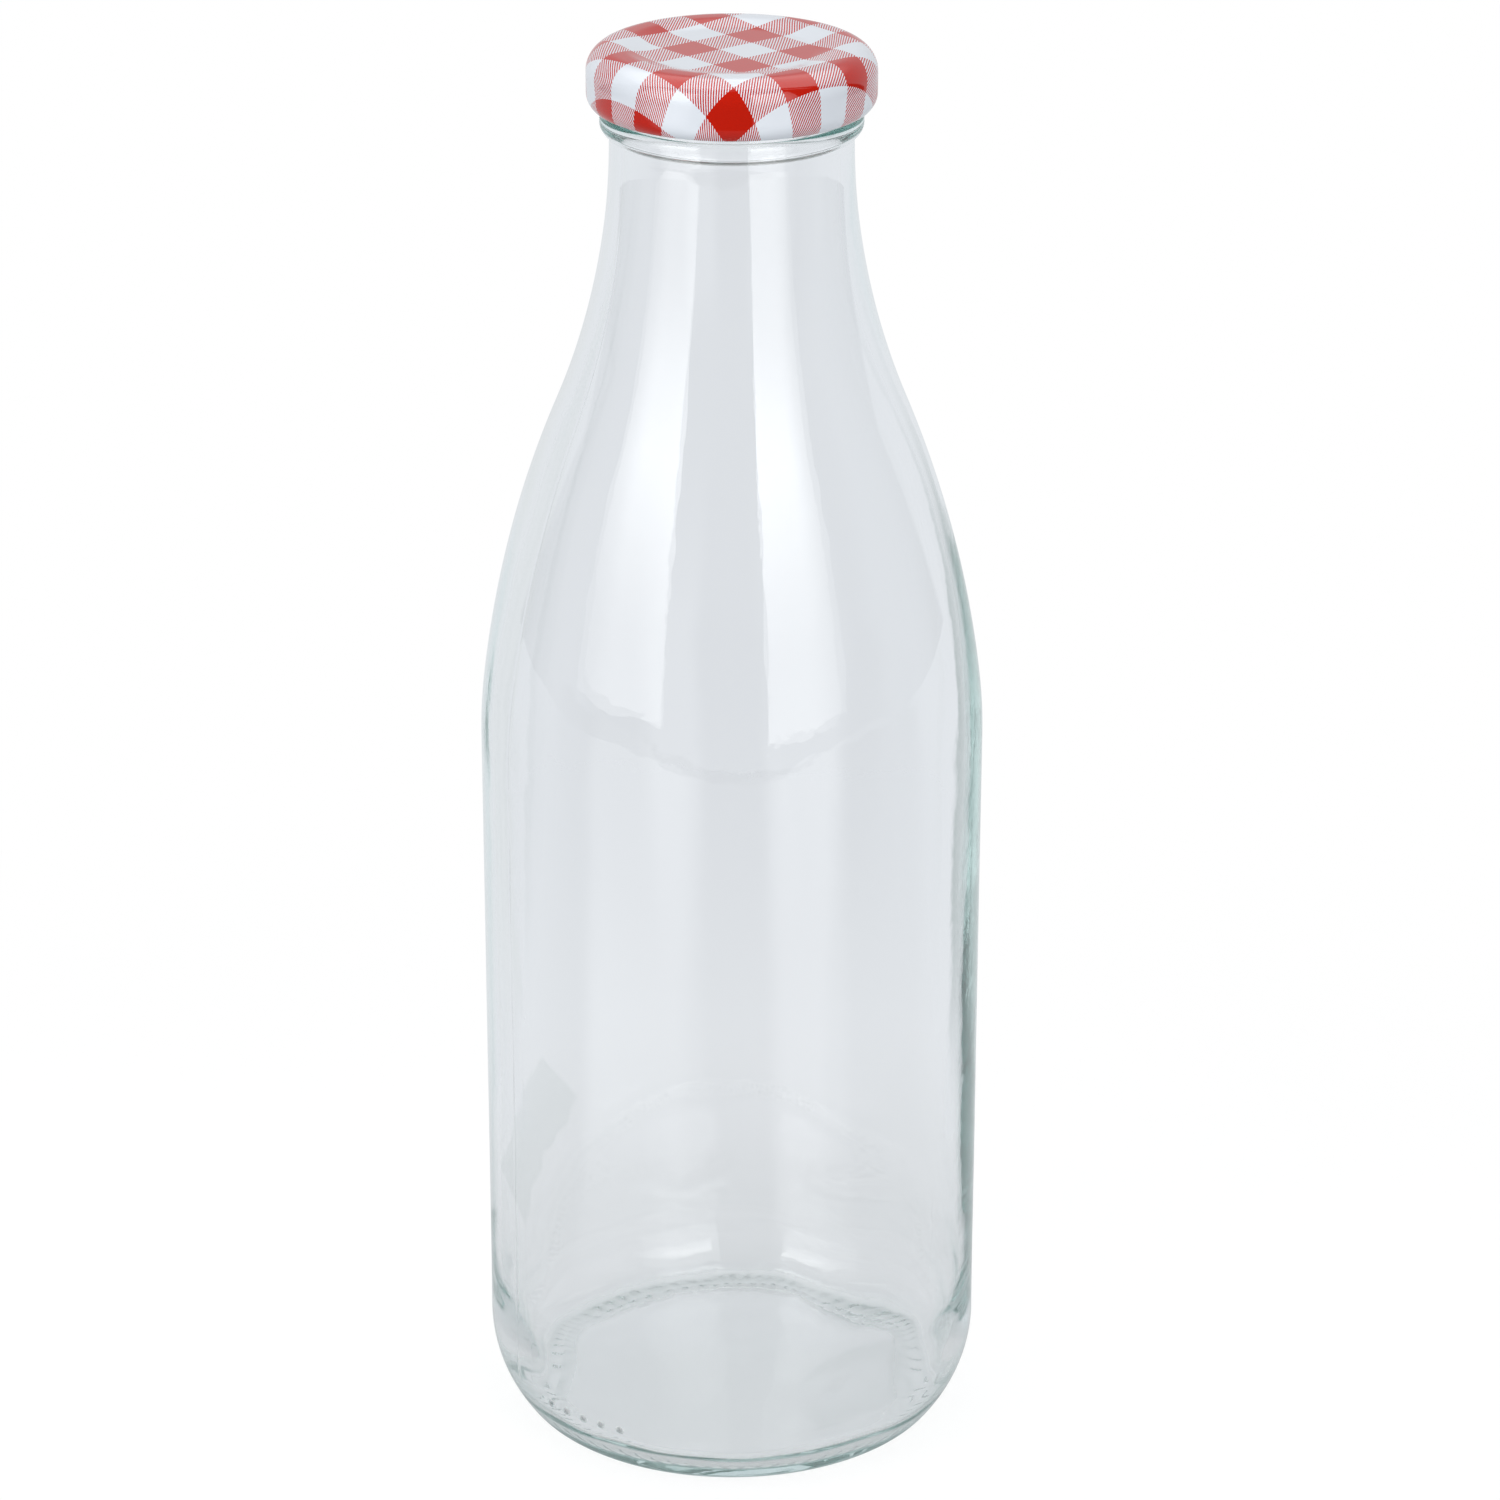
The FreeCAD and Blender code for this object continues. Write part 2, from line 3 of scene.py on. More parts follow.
import bmesh
import bpy
from bpy.props import FloatProperty, FloatVectorProperty, IntProperty, PointerProperty
from bpy.types import Operator, Panel, PropertyGroup
from mathutils import Matrix, Vector, noise


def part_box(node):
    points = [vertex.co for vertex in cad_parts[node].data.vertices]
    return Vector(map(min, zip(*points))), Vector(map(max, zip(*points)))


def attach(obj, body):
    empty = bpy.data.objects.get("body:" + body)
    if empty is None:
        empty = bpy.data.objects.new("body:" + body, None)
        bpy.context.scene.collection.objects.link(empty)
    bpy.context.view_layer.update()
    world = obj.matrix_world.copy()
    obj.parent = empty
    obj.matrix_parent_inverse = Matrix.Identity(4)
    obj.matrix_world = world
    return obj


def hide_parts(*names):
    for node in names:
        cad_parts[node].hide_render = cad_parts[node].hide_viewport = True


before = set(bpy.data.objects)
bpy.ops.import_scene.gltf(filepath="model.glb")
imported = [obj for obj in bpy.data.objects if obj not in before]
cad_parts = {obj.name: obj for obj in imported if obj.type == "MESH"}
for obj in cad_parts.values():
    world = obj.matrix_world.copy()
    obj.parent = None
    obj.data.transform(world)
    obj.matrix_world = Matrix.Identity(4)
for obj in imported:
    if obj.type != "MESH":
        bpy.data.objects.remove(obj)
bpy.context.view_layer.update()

bl_info = {
    "name": "Glass milk bottle",
    "version": (1, 0, 0),
    "blender": (4, 5, 0),
    "location": "View3D > Sidebar > Milk bottle",
    "description": "A one-litre glass milk bottle with a checked twist-off lid, "
                   "dressed over its packed frame",
    "category": "Object",
}

GLASS_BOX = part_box("bottle")
LID_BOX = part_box("lid_shell")
SEAL_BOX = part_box("sealing_ring")

MM = 0.001
TOUCH = 1e-7
FULL_TURN = 2 * math.pi
SENSOR_WIDTH = 36
FLOOR_GAP = 0.4 * MM
SEAM_LOW, SEAM_HIGH = 6 * MM, 240 * MM

WHITE = (1, 1, 1, 1)
SMEARED_GLASS = (0.88, 0.90, 0.89, 1)
# Painted shade: a darker green for the heel's rounds where they are seen edge-on.
HEEL_PAINTED_SHADE = (0.62, 0.75, 0.72, 1)
# Painted shade: dark on the heel nubs and along the front mould seam.
NUB_AND_SEAM_PAINTED_SHADE = (0.05, 0.08, 0.08, 1)
GLASS_SHADOW = (0.93, 0.95, 0.945, 1)
THROUGH_ABOVE = (0.71, 0.74, 0.75, 1)
LIGHT_STRIP = (1.6, 1.6, 1.6, 1)
TABLE_STREAK = (0.97, 0.98, 1.0, 1)


def length(name, description, millimetres):
    return FloatProperty(name=name, description=description, default=millimetres * MM,
                         unit="LENGTH", subtype="DISTANCE", precision=5)


def angle(name, description, degrees):
    return FloatProperty(name=name, description=description, default=math.radians(degrees),
                         unit="ROTATION", subtype="ANGLE")


def share(name, description, value):
    return FloatProperty(name=name, description=description, default=value, subtype="FACTOR",
                         min=0, max=1)


def amount(name, description, value, least=0):
    return FloatProperty(name=name, description=description, default=value, min=least)


def count(name, description, value):
    return IntProperty(name=name, description=description, default=value, min=1)


def colour(name, description, value):
    return FloatVectorProperty(name=name, description=description, default=value, subtype="COLOR",
                               size=3, min=0, max=1)


class BottleSettings(PropertyGroup):
    """Sizes and colours of the glass."""

    body_radius: length("Body radius", "Outside of the straight body", GLASS_BOX[1].x / MM)
    mouth_top: length("Mouth height", "Top of the mouth above the table", GLASS_BOX[1].z / MM)
    wall: length("Wall", "Glass of body, shoulder and neck", 2.5)
    ring_outer: length("Base ring", "Outer radius of the ring that stands on the table", 36.65)
    ring_width: length("Base ring width", "Width of the ring that stands on the table", 3.2)
    push_up: length("Push-up", "Rise of the base inside its ring", 4.0)
    base_glass: length("Base glass", "Glass at the middle of the base", 3.0)
    heel_radius: length("Heel", "Large round of the heel", 24.8)
    toe_radius: length("Toe", "Small round where the heel meets the base ring", 4.0)
    floor_edge: length("Floor edge", "Lowest point of the inside above the table", 3.0)
    inner_heel_radius: length("Inner heel", "Round between floor and wall inside", 10.0)
    shoulder_start: length("Shoulder start", "Height where the straight body ends", 132.3)
    edge_radius: length("Shoulder edge", "Tighter round just above the body", 88.6)
    edge_height: length("Shoulder edge height", "Height of that round", 10.2)
    shoulder_radius: length("Shoulder", "Outward round of the shoulder", 191.5)
    neck_radius: length("Neck", "Outside of the neck under the bead", 21.1)
    neck_height: length("Neck height", "Height of the crease under the bead", 243.0)
    crease: length("Crease", "Round of the crease under the bead", 0.2)
    bead: length("Bead", "Bead outside the neck", 1.65)
    bead_under: length("Bead underside", "Height of the rounded underside of the bead", 2.1)
    bead_land: length("Bead land", "Straight outside of the bead", 0.4)
    finish_step: length("Finish", "Finish wall outside the neck", 0.3)
    lip: length("Lip", "Round of both edges of the mouth", 0.8)
    thread_depth: length("Thread depth", "Thread crest outside the finish wall", 1.1)
    thread_under: length("Thread height", "Underside of the thread where its even run starts", 248.44)
    thread_foot: length("Thread foot", "Height of the thread at its root", 1.4)
    thread_lead: length("Thread lead", "Rise of the even run in one turn", 14.0)
    stop_lead: length("Stop lead", "Rise of the steep lower end in one turn", 30.0)
    thread_angle: angle("Thread start", "Where the even run starts, from the +X side", 52)
    thread_run: angle("Thread run", "How far the even run goes", 53)
    stop_run: angle("Stop run", "How far the steep lower end goes", 24)
    bars: count("Base bars", "Raised bars on the base ring", 72)
    bar_height: length("Bar height", "Height of the bars on the base ring", 0.12)
    dots: count("Heel dots", "Small round nubs in a row on the heel", 5)
    dot_angle: angle("Heel dot place", "First nub of the row, from the +X side", 221.8)
    dot_pitch: angle("Heel dot pitch", "From one nub to the next", 5.2)
    dot_height: length("Heel dot height", "Row of nubs above the table", 10.7)
    dot_radius: length("Heel dot radius", "Radius of a nub", 0.85)
    dot_rise: length("Heel dot rise", "How far a nub stands out", 0.32)
    seam_angle: angle("Mould seam", "Where the mould's halves met, from the +X side", 209.0)
    seam_height: length("Seam height", "Ridge that the mould's halves left", 0.05)
    unevenness: length("Unevenness", "Swing of the inner wall from its true shape", 0.7)
    foot: length("Thicker foot", "How much thicker the wall is close to the base", 1.2)
    ripple: length("Ripple", "Finer swing of the inner wall", 0.03)
    sink: length("Sinking", "How far the outer wall sinks below its true shape in slow waves", 0.14)
    dimple: length("Dimples", "Fine unevenness that the mould left on the outer wall", 0.09)
    tint: colour("Tint", "What is left of white light in depth", (0.55, 0.78, 0.75))
    depth: amount("Tint density", "How fast the tint builds up in the glass", 9.0)
    smear_angle: angle("Smear place", "Middle of the dull smear, from the +X side", 217)
    smear_height: length("Smear height", "Middle of the dull smear above the table", 64.5)
    smear_tilt: angle("Smear tilt", "Lean of the dull smear from upright", 29)
    smear_length: length("Smear length", "Length of the dull smear", 34.0)
    smear_width: length("Smear width", "Width of the dull smear", 11.0)


class LidSettings(PropertyGroup):
    """Sizes and colours of the lid and its sealing ring."""

    radius: length("Lid radius", "Outside of the skirt", LID_BOX[1].x / MM)
    top: length("Rim height", "Top of the rim above the table", LID_BOX[1].z / MM)
    bottom: length("Lower edge", "Lower edge of the lid above the table", LID_BOX[0].z / MM)
    sheet: length("Sheet", "Tinplate with its lacquer", 0.25)
    dent: length("Dents", "Unevenness of the pressed sheet", 0.03)
    shoulder: length("Lid shoulder", "Round from rim to skirt", 4.3)
    rim_flat: length("Rim", "Flat top of the raised rim", 2.1)
    rim_slope: length("Rim slope", "Width of the slope from rim to panel", 4.2)
    panel_depth: length("Panel depth", "Panel below the rim", 0.92)
    slope_round: length("Slope round", "Rounds at the top and foot of the slope", 6.0)
    turn: length("Skirt turn", "Inward turn at the foot of the skirt", 2.9)
    curl: length("Rolled edge", "Outside of the rolled edge", 0.8)
    curl_middle: length("Rolled edge place", "Radius to the middle of the rolled edge", 23.6)
    lug_inner: length("Lug reach", "Radius to the inside of the lugs", 21.65)
    lug_rise: length("Lug rise", "Underside of a lug above the lid's lower edge", 0.1)
    lug_thickness: length("Lug thickness", "Thickness of a lug", 0.85)
    lug_width: length("Lug width", "Width of a lug", 6.4)
    lug_angle: angle("Lug place", "Middle of the first lug, from the +X side", 75)
    lugs: count("Lugs", "Lugs round the lid", 4)
    blank: length("Blank", "Side of the square that the flat blank was printed on", 70.0)
    drawn: length("Drawn in", "Sheet that the rim took in beyond its own area", 0.9)
    check: length("Check", "Side of one square of the checked print", 7.028)
    check_turn: angle("Check turn", "Turn of the checked print", 50.85)
    check_across: length("Check across", "Corner of a red square, to the right of the middle", -3.095)
    check_back: length("Check back", "Corner of a red square, behind the middle", -9.354)
    hatch: amount("Hatch lines", "Fine lines across one half-tone square", 10.65, least=1)
    hatch_share: share("Hatch share", "Share of a half-tone square that is inked", 0.53)
    coat: colour("Coat", "White coat under the print", (0.63, 0.665, 0.715))
    ink: colour("Ink", "Red of the print", (0.43, 0.008, 0.001))
    lacquer: colour("Lacquer", "White lacquer on the inside", (0.74, 0.74, 0.72))
    compound: colour("Compound", "Soft compound of the sealing ring", (0.72, 0.70, 0.65))


class StageSettings(PropertyGroup):
    """Camera, floor and light."""

    camera_distance: length("Camera distance", "Camera to the point that it looks at", 951.47)
    camera_aim: length("Camera aim", "Height of the point that the camera looks at", 128.09)
    camera_tilt: angle("Camera tilt", "How far the camera looks down", 22.51)
    camera_lens: FloatProperty(name="Lens", description="Focal length on a 36 mm sensor", default=126.95)
    camera_shift: FloatProperty(name="Shift", description="Sideways shift of the picture", default=0.0121)
    floor_radius: length("Floor radius", "Radius of the floor", 950.0)
    floor: colour("Floor", "Pale floor under the bottle", (0.95, 0.955, 0.96))
    table: colour("Table", "Floor in front of the bottle, as gloss shows it", (0.36, 0.37, 0.38))
    lit_table: colour("Lit table", "Floor beside and behind the bottle, as gloss shows it",
                      (0.77, 0.79, 0.81))
    table_front: length("Table front", "Front edge of the table, from the middle of the bottle", 700.0)
    shade: share("Contact shade", "Floor close to the bottle against the open floor, through the glass", 0.80)
    through: colour("Backdrop through glass", "Backdrop as the glass shows it", (0.785, 0.808, 0.848))
    room: colour("Room", "Unlit room in front, as gloss shows it", (0.10, 0.10, 0.10))
    tent: colour("Tent", "White cloth behind and above, as gloss shows it", (0.80, 0.81, 0.83))
    overhead: amount("Overhead", "Brightness of the light overhead, as gloss shows it", 2.6)
    fill: colour("Fill", "Light from all round", (0.25, 0.26, 0.27))
    ceiling: colour("Ceiling", "Light from above", (1.0, 1.0, 1.0))


class Section:
    """A half section in the XZ plane, drawn from point to point and then spun round the upright axis."""

    def __init__(self, radius, height):
        self.mesh = bmesh.new()
        self.inside = self.mesh.verts.layers.float.new("inside")
        self.blank = self.mesh.verts.layers.float.new("blank")
        # A layer for painted dark shade on the heel nubs and the front seam.
        self.mesh.verts.layers.float.new("painted_shade")
        self.tip = self.mesh.verts.new((radius, 0, height))

    def line(self, radius, height, parts=1):
        step = (Vector((radius, 0, height)) - self.tip.co) / parts
        for _ in range(parts):
            self.tip = bmesh.ops.extrude_vert_indiv(self.mesh, verts=[self.tip])["verts"][0]
            bmesh.ops.translate(self.mesh, verts=[self.tip], vec=step)

    def arc(self, radius, height, centre_radius, centre_height, parts):
        centre = Vector((centre_radius, 0, centre_height))
        before = self.tip.co - centre
        after = Vector((radius, 0, height)) - centre
        turn = math.atan2(before.z, before.x) - math.atan2(after.z, after.x)
        turn = (turn + math.pi) % FULL_TURN - math.pi
        made = bmesh.ops.spin(self.mesh, geom=[self.tip], cent=centre, axis=(0, 1, 0), angle=turn,
                              steps=parts)
        self.tip = made["geom_last"][0]

    def turn_inside(self):
        """What is drawn from here on is the inner wall."""
        self.tip[self.inside] = 1

    def lay_flat(self, drawn, panel_radius, rim_radius):
        """Gives each point the radius that it had on the flat blank: the sheet keeps its area, but for
        what the rim drew in."""
        self.mesh.verts.ensure_lookup_table()
        swept = 0
        for before, after in zip(self.mesh.verts[:-1], self.mesh.verts[1:]):
            swept += (after.co - before.co).length * (after.co.x + before.co.x)
            after[self.blank] = math.sqrt(swept) + drawn * smooth_step(after.co.x, panel_radius, rim_radius)

    def spun(self, steps):
        mesh = self.mesh
        bmesh.ops.spin(mesh, geom=mesh.verts[:] + mesh.edges[:], cent=(0, 0, 0), axis=(0, 0, 1),
                       angle=FULL_TURN, steps=steps, use_merge=True)
        poles = [vert for vert in mesh.verts if vert.co.xy.length < TOUCH]
        bmesh.ops.remove_doubles(mesh, verts=poles, dist=TOUCH * 10)
        bmesh.ops.recalc_face_normals(mesh, faces=mesh.faces[:])
        mesh.normal_update()
        return mesh


def smooth_step(value, low, high):
    place = min(1, max(0, (value - low) / (high - low)))
    return place * place * (3 - 2 * place)


def window(value, low, high, fade):
    """1 between low and high, and 0 beyond them by the fade."""
    return smooth_step(value, low - fade, low) * (1 - smooth_step(value, high, high + fade))


def put_piece(mesh, name, body, slot, materials, *nodes):
    """Makes a finished mesh a piece that stands for CAD nodes and rides on their body."""
    for face in mesh.faces:
        face.smooth = True
    data = bpy.data.meshes.new(name)
    mesh.to_mesh(data)
    mesh.free()
    for material in materials:
        data.materials.append(material)
    piece = bpy.data.objects.new(name, data)
    bpy.context.scene.collection.objects.link(piece)
    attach(piece, body)
    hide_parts(*nodes)


class Nodes:
    """Adds and links the nodes of one tree."""

    def __init__(self, tree):
        self.tree = tree

    def add(self, kind, inputs=None, **settings):
        node = self.tree.nodes.new("ShaderNode" + kind)
        for name, value in settings.items():
            setattr(node, name, value)
        for place, value in (inputs or {}).items():
            self.feed(node.inputs[place], value)
        return node

    def feed(self, socket, value):
        if isinstance(value, bpy.types.NodeSocket):
            self.tree.links.new(value, socket)
        else:
            socket.default_value = value

    def sum(self, operation, *values):
        node = self.add("Math", dict(enumerate(values)), operation=operation)
        return node.outputs[0]

    def times(self, first, second):
        return self.sum("MULTIPLY", first, second)

    def split(self, vector):
        return self.add("SeparateXYZ", {0: vector}).outputs

    def place(self):
        return self.add("TexCoord").outputs["Object"]

    def ramp(self, value, low, high, to_low=0.0, to_high=1.0):
        """A smooth change from one value to another between two bounds."""
        node = self.add("MapRange", {"Value": value, "From Min": low, "From Max": high,
                                     "To Min": to_low, "To Max": to_high}, interpolation_type="SMOOTHSTEP")
        return node.outputs["Result"]

    def mix(self, factor, first, second):
        node = self.add("Mix", {"Factor": factor}, data_type="RGBA")
        for name, value in (("A", first), ("B", second)):
            socket = next(s for s in node.inputs if s.name == name and s.type == "RGBA")
            self.feed(socket, value)
        return next(s for s in node.outputs if s.type == "RGBA")

    def noise(self, vector, scale, detail=2.0):
        node = self.add("TexNoise", {"Vector": vector, "Scale": scale, "Detail": detail})
        return node.outputs["Fac"]

    def group(self, tree, **inputs):
        node = self.tree.nodes.new("ShaderNodeGroup")
        node.node_tree = tree
        for name, value in inputs.items():
            self.feed(node.inputs[name.replace("_", " ").capitalize()], value)
        return node.outputs


def opaque(value):
    return (*value, 1)


def new_material(name):
    material = bpy.data.materials.new(name)
    material.use_nodes = True
    material.node_tree.nodes.clear()
    nodes = Nodes(material.node_tree)
    return material, nodes, nodes.add("OutputMaterial")


def handling_marks():
    """A group for faint marks of handling: patches of haze, and a fine unevenness."""
    name = "Handling marks"
    if name in bpy.data.node_groups:
        return bpy.data.node_groups[name]
    tree = bpy.data.node_groups.new(name, "ShaderNodeTree")
    tree.interface.new_socket("Vector", in_out="INPUT", socket_type="NodeSocketVector")
    for label, default in (("Patch scale", 60), ("Grain scale", 900)):
        socket = tree.interface.new_socket(label, in_out="INPUT", socket_type="NodeSocketFloat")
        socket.default_value = default
    for label in ("Haze", "Height"):
        tree.interface.new_socket(label, in_out="OUTPUT", socket_type="NodeSocketFloat")
    nodes = Nodes(tree)
    inputs = tree.nodes.new("NodeGroupInput").outputs
    outputs = tree.nodes.new("NodeGroupOutput").inputs
    patches = nodes.noise(inputs["Vector"], inputs["Patch scale"], 4.0)
    nodes.feed(outputs["Haze"], nodes.ramp(patches, 0.5, 0.75))
    nodes.feed(outputs["Height"], nodes.noise(inputs["Vector"], inputs["Grain scale"], 3.0))
    return tree


def smear_mask(nodes, settings, place):
    """A leaning patch with ragged edges, where something was once stuck to the glass."""
    x, y, up = nodes.split(place)
    turn_cos, turn_sin = math.cos(settings.smear_angle), math.sin(settings.smear_angle)
    towards = nodes.sum("MULTIPLY_ADD", x, turn_cos, nodes.times(y, turn_sin))
    aside = nodes.sum("MULTIPLY_ADD", x, -turn_sin, nodes.times(y, turn_cos))
    round_wall = nodes.times(nodes.sum("ARCTAN2", aside, towards), settings.body_radius)
    rise = nodes.sum("SUBTRACT", up, settings.smear_height)
    lean_cos, lean_sin = math.cos(settings.smear_tilt), math.sin(settings.smear_tilt)
    along = nodes.sum("MULTIPLY_ADD", round_wall, lean_sin, nodes.times(rise, lean_cos))
    across = nodes.sum("MULTIPLY_ADD", round_wall, lean_cos, nodes.times(rise, -lean_sin))
    swing, blur = 7 * MM, 0.6 * MM
    ragged = nodes.times(nodes.sum("SUBTRACT", nodes.noise(place, 90.0, 2.0), 0.5), swing)
    mask = 1.0
    for distance, size in ((along, settings.smear_length), (across, settings.smear_width)):
        past = nodes.sum("ADD", nodes.sum("ABSOLUTE", distance), ragged)
        mask = nodes.times(mask, nodes.ramp(past, size / 2 - blur, size / 2 + blur, 1.0, 0.0))
    return mask


def heel_painted_shade_mask(nodes, place, up):
    """The rounds of the heel, where they are seen edge-on and so look thickest: the mask for a painted darker
    green shade.
    """
    off_axis = nodes.add("VectorMath", {0: place, 1: (1, 1, 0)}, operation="MULTIPLY").outputs["Vector"]
    radius = nodes.add("VectorMath", {0: off_axis}, operation="LENGTH").outputs["Value"]
    low = nodes.ramp(up, 11 * MM, 19 * MM, 1.0, 0.0)
    heel = nodes.times(low, nodes.ramp(radius, 36 * MM, 41 * MM))
    edge_on = nodes.add("LayerWeight", {"Blend": 0.5}).outputs["Facing"]
    return nodes.times(nodes.ramp(edge_on, 0.50, 0.95), heel)


def glass_material(settings):
    """Clear glass, uneven mostly inside, with a dull smear, a painted darker green shade at the heel's
    edge-on rounds, painted dark shade on the heel nubs and the front seam, and a scuffed foot.
    """
    material, nodes, output = new_material("clear_glass")
    place = nodes.place()
    _, back, up = nodes.split(place)
    inside = nodes.add("Attribute", attribute_name="inside").outputs["Fac"]
    painted_shade = nodes.add("Attribute", attribute_name="painted_shade").outputs["Fac"]
    slow = nodes.add("Mapping", {"Vector": place, "Scale": (1, 1, 0.45)}).outputs["Vector"]
    swell = nodes.noise(slow, 55.0, 1.0)
    marks = nodes.group(handling_marks(), vector=place, patch_scale=42.0, grain_scale=420.0)
    wave = nodes.sum("MULTIPLY_ADD", marks["Height"], 0.06, nodes.times(swell, 0.5))
    height = nodes.times(wave, nodes.sum("MULTIPLY_ADD", inside, 0.9, 0.1))
    facing = nodes.ramp(back, -36 * MM, -22 * MM, 0.10, 0.0)
    height = nodes.sum("MULTIPLY_ADD", nodes.noise(place, 260.0, 2.0), facing, height)
    bump = nodes.add("Bump", {"Height": height, "Strength": 0.25, "Distance": 0.6 * MM})
    scuffed = nodes.ramp(up, 0.4 * MM, 1.0 * MM, 0.40, 0.0)
    smear = nodes.times(smear_mask(nodes, settings, place), nodes.sum("SUBTRACT", 1.0, inside))
    dull = nodes.sum("MULTIPLY_ADD", smear, 0.10, scuffed)
    smear_and_painted_shade = nodes.mix(smear, WHITE, SMEARED_GLASS)
    # Painted shade: a darker green on the heel's rounds where they are seen edge-on, standing in for thick
    # glass.
    smear_and_painted_shade = nodes.mix(heel_painted_shade_mask(nodes, place, up), smear_and_painted_shade, HEEL_PAINTED_SHADE)
    # Painted shade: dark on the heel nubs and the front seam, from the mesh layer.
    smear_and_painted_shade = nodes.mix(painted_shade, smear_and_painted_shade, NUB_AND_SEAM_PAINTED_SHADE)
    glass = nodes.add("BsdfPrincipled", {
        "Base Color": smear_and_painted_shade, "Metallic": 0.0, "IOR": 1.52, "Transmission Weight": 1.0,
        "Roughness": nodes.sum("MULTIPLY_ADD", marks["Haze"], 0.012, dull),
        "Normal": bump.outputs["Normal"]})
    clear = nodes.add("BsdfTransparent", {"Color": GLASS_SHADOW})
    lamps = nodes.add("LightPath").outputs["Is Shadow Ray"]
    surface = nodes.add("MixShader", {0: lamps, 1: glass.outputs[0], 2: clear.outputs[0]})
    depth = nodes.add("VolumeAbsorption", {"Color": opaque(settings.tint), "Density": settings.depth})
    nodes.feed(output.inputs["Surface"], surface.outputs[0])
    nodes.feed(output.inputs["Volume"], depth.outputs[0])
    return material


def print_material(settings):
    """White coat with a red check: solid squares, half-tone squares of fine lines, and bare squares."""
    material, nodes, output = new_material("checked_print")
    blank = nodes.add("UVMap", uv_map="blank").outputs["UV"]
    marks = nodes.group(handling_marks(), vector=nodes.place(), patch_scale=70.0, grain_scale=1500.0)
    middle = settings.blank / 2
    turn = settings.check_turn
    corner_x = (settings.check_across + middle) / settings.check
    corner_y = (settings.check_back + middle) / settings.check
    shift = (-(corner_x * math.cos(turn) - corner_y * math.sin(turn)),
             -(corner_x * math.sin(turn) + corner_y * math.cos(turn)), 0)
    squares_per_blank = settings.blank / settings.check
    lattice = nodes.add("Mapping", {"Vector": blank, "Location": shift, "Rotation": (0, 0, turn),
                                    "Scale": (squares_per_blank, squares_per_blank, 1)})
    across, along, _ = nodes.split(lattice.outputs["Vector"])
    row = nodes.sum("LESS_THAN", nodes.sum("FLOORED_MODULO", across, 2.0), 1.0)
    column = nodes.sum("LESS_THAN", nodes.sum("FLOORED_MODULO", along, 2.0), 1.0)
    solid = nodes.times(row, column)
    half = nodes.sum("ABSOLUTE", nodes.sum("SUBTRACT", row, column))
    lines = nodes.times(nodes.sum("ADD", across, along), settings.hatch)
    hatch = nodes.sum("LESS_THAN", nodes.sum("FLOORED_MODULO", lines, 1.0), settings.hatch_share)
    inked = nodes.sum("MAXIMUM", solid, nodes.times(half, hatch))
    worn = nodes.ramp(nodes.noise(blank, 90.0, 3.0), 0.2, 0.8, 0.90, 1.0)
    ink = nodes.mix(worn, opaque([0.8 * c for c in settings.ink]), opaque(settings.ink))
    paint = nodes.mix(inked, opaque(settings.coat), ink)
    bump = nodes.add("Bump", {"Height": marks["Height"], "Strength": 0.02, "Distance": 0.2 * MM})
    shader = nodes.add("BsdfPrincipled", {
        "Base Color": paint, "Roughness": nodes.sum("MULTIPLY_ADD", marks["Haze"], 0.06, 0.05),
        "IOR": 1.5, "Normal": bump.outputs["Normal"]})
    nodes.feed(output.inputs["Surface"], shader.outputs[0])
    return material


def plain_material(name, tone, patch_scale, grain_scale, handled, bump, bump_depth, rough, haze_rough):
    """One tone with faint marks of handling, where it is a little darker and duller."""
    material, nodes, output = new_material(name)
    marks = nodes.group(handling_marks(), vector=nodes.place(), patch_scale=patch_scale,
                        grain_scale=grain_scale)
    shade = nodes.mix(marks["Haze"], opaque(tone), opaque([handled * c for c in tone]))
    uneven = nodes.add("Bump", {"Height": marks["Height"], "Strength": bump, "Distance": bump_depth})
    shader = nodes.add("BsdfPrincipled", {
        "Base Color": shade, "Normal": uneven.outputs["Normal"],
        "Roughness": nodes.sum("MULTIPLY_ADD", marks["Haze"], haze_rough, rough)})
    nodes.feed(output.inputs["Surface"], shader.outputs[0])
    return material


def lacquer_material(settings):
    return plain_material("white_lacquer", settings.lacquer, patch_scale=90.0, grain_scale=1200.0,
                          handled=0.85, bump=0.1, bump_depth=0.2 * MM, rough=0.28, haze_rough=0.15)


def compound_material(settings):
    return plain_material("sealing_compound", settings.compound, patch_scale=120.0, grain_scale=1600.0,
                          handled=0.9, bump=0.2, bump_depth=0.3 * MM, rough=0.42, haze_rough=0.12)


def s_curve(start_radius, start_height, edge_radius, edge_height, round_radius, end_radius, end_height):
    """Points and centres of a shoulder: two outward rounds, then one inward round up to the neck."""
    edge_turn = math.asin((edge_height - start_height) / edge_radius)
    edge = (start_radius - edge_radius * (1 - math.cos(edge_turn)), edge_height)
    edge_centre = (start_radius - edge_radius, start_height)
    round_centre = (edge[0] - round_radius * math.cos(edge_turn),
                    edge[1] - round_radius * math.sin(edge_turn))
    inward = edge[0] - end_radius + round_radius * (1 - math.cos(edge_turn))
    rise = end_height - round_centre[1]
    both_radii = (inward ** 2 + rise ** 2) / (2 * inward)
    turn = math.atan2(rise, both_radii - inward)
    middle = (round_centre[0] + round_radius * math.cos(turn),
              round_centre[1] + round_radius * math.sin(turn))
    neck_centre = (end_radius + both_radii - round_radius, end_height)
    return edge, edge_centre, middle, round_centre, neck_centre


def heel_centre(size):
    """Radius and height of the middle of the heel's large round."""
    radius = size.body_radius - size.heel_radius
    rise = math.sqrt((size.heel_radius - size.toe_radius) ** 2 - (size.ring_outer - radius) ** 2)
    return radius, size.toe_radius + rise


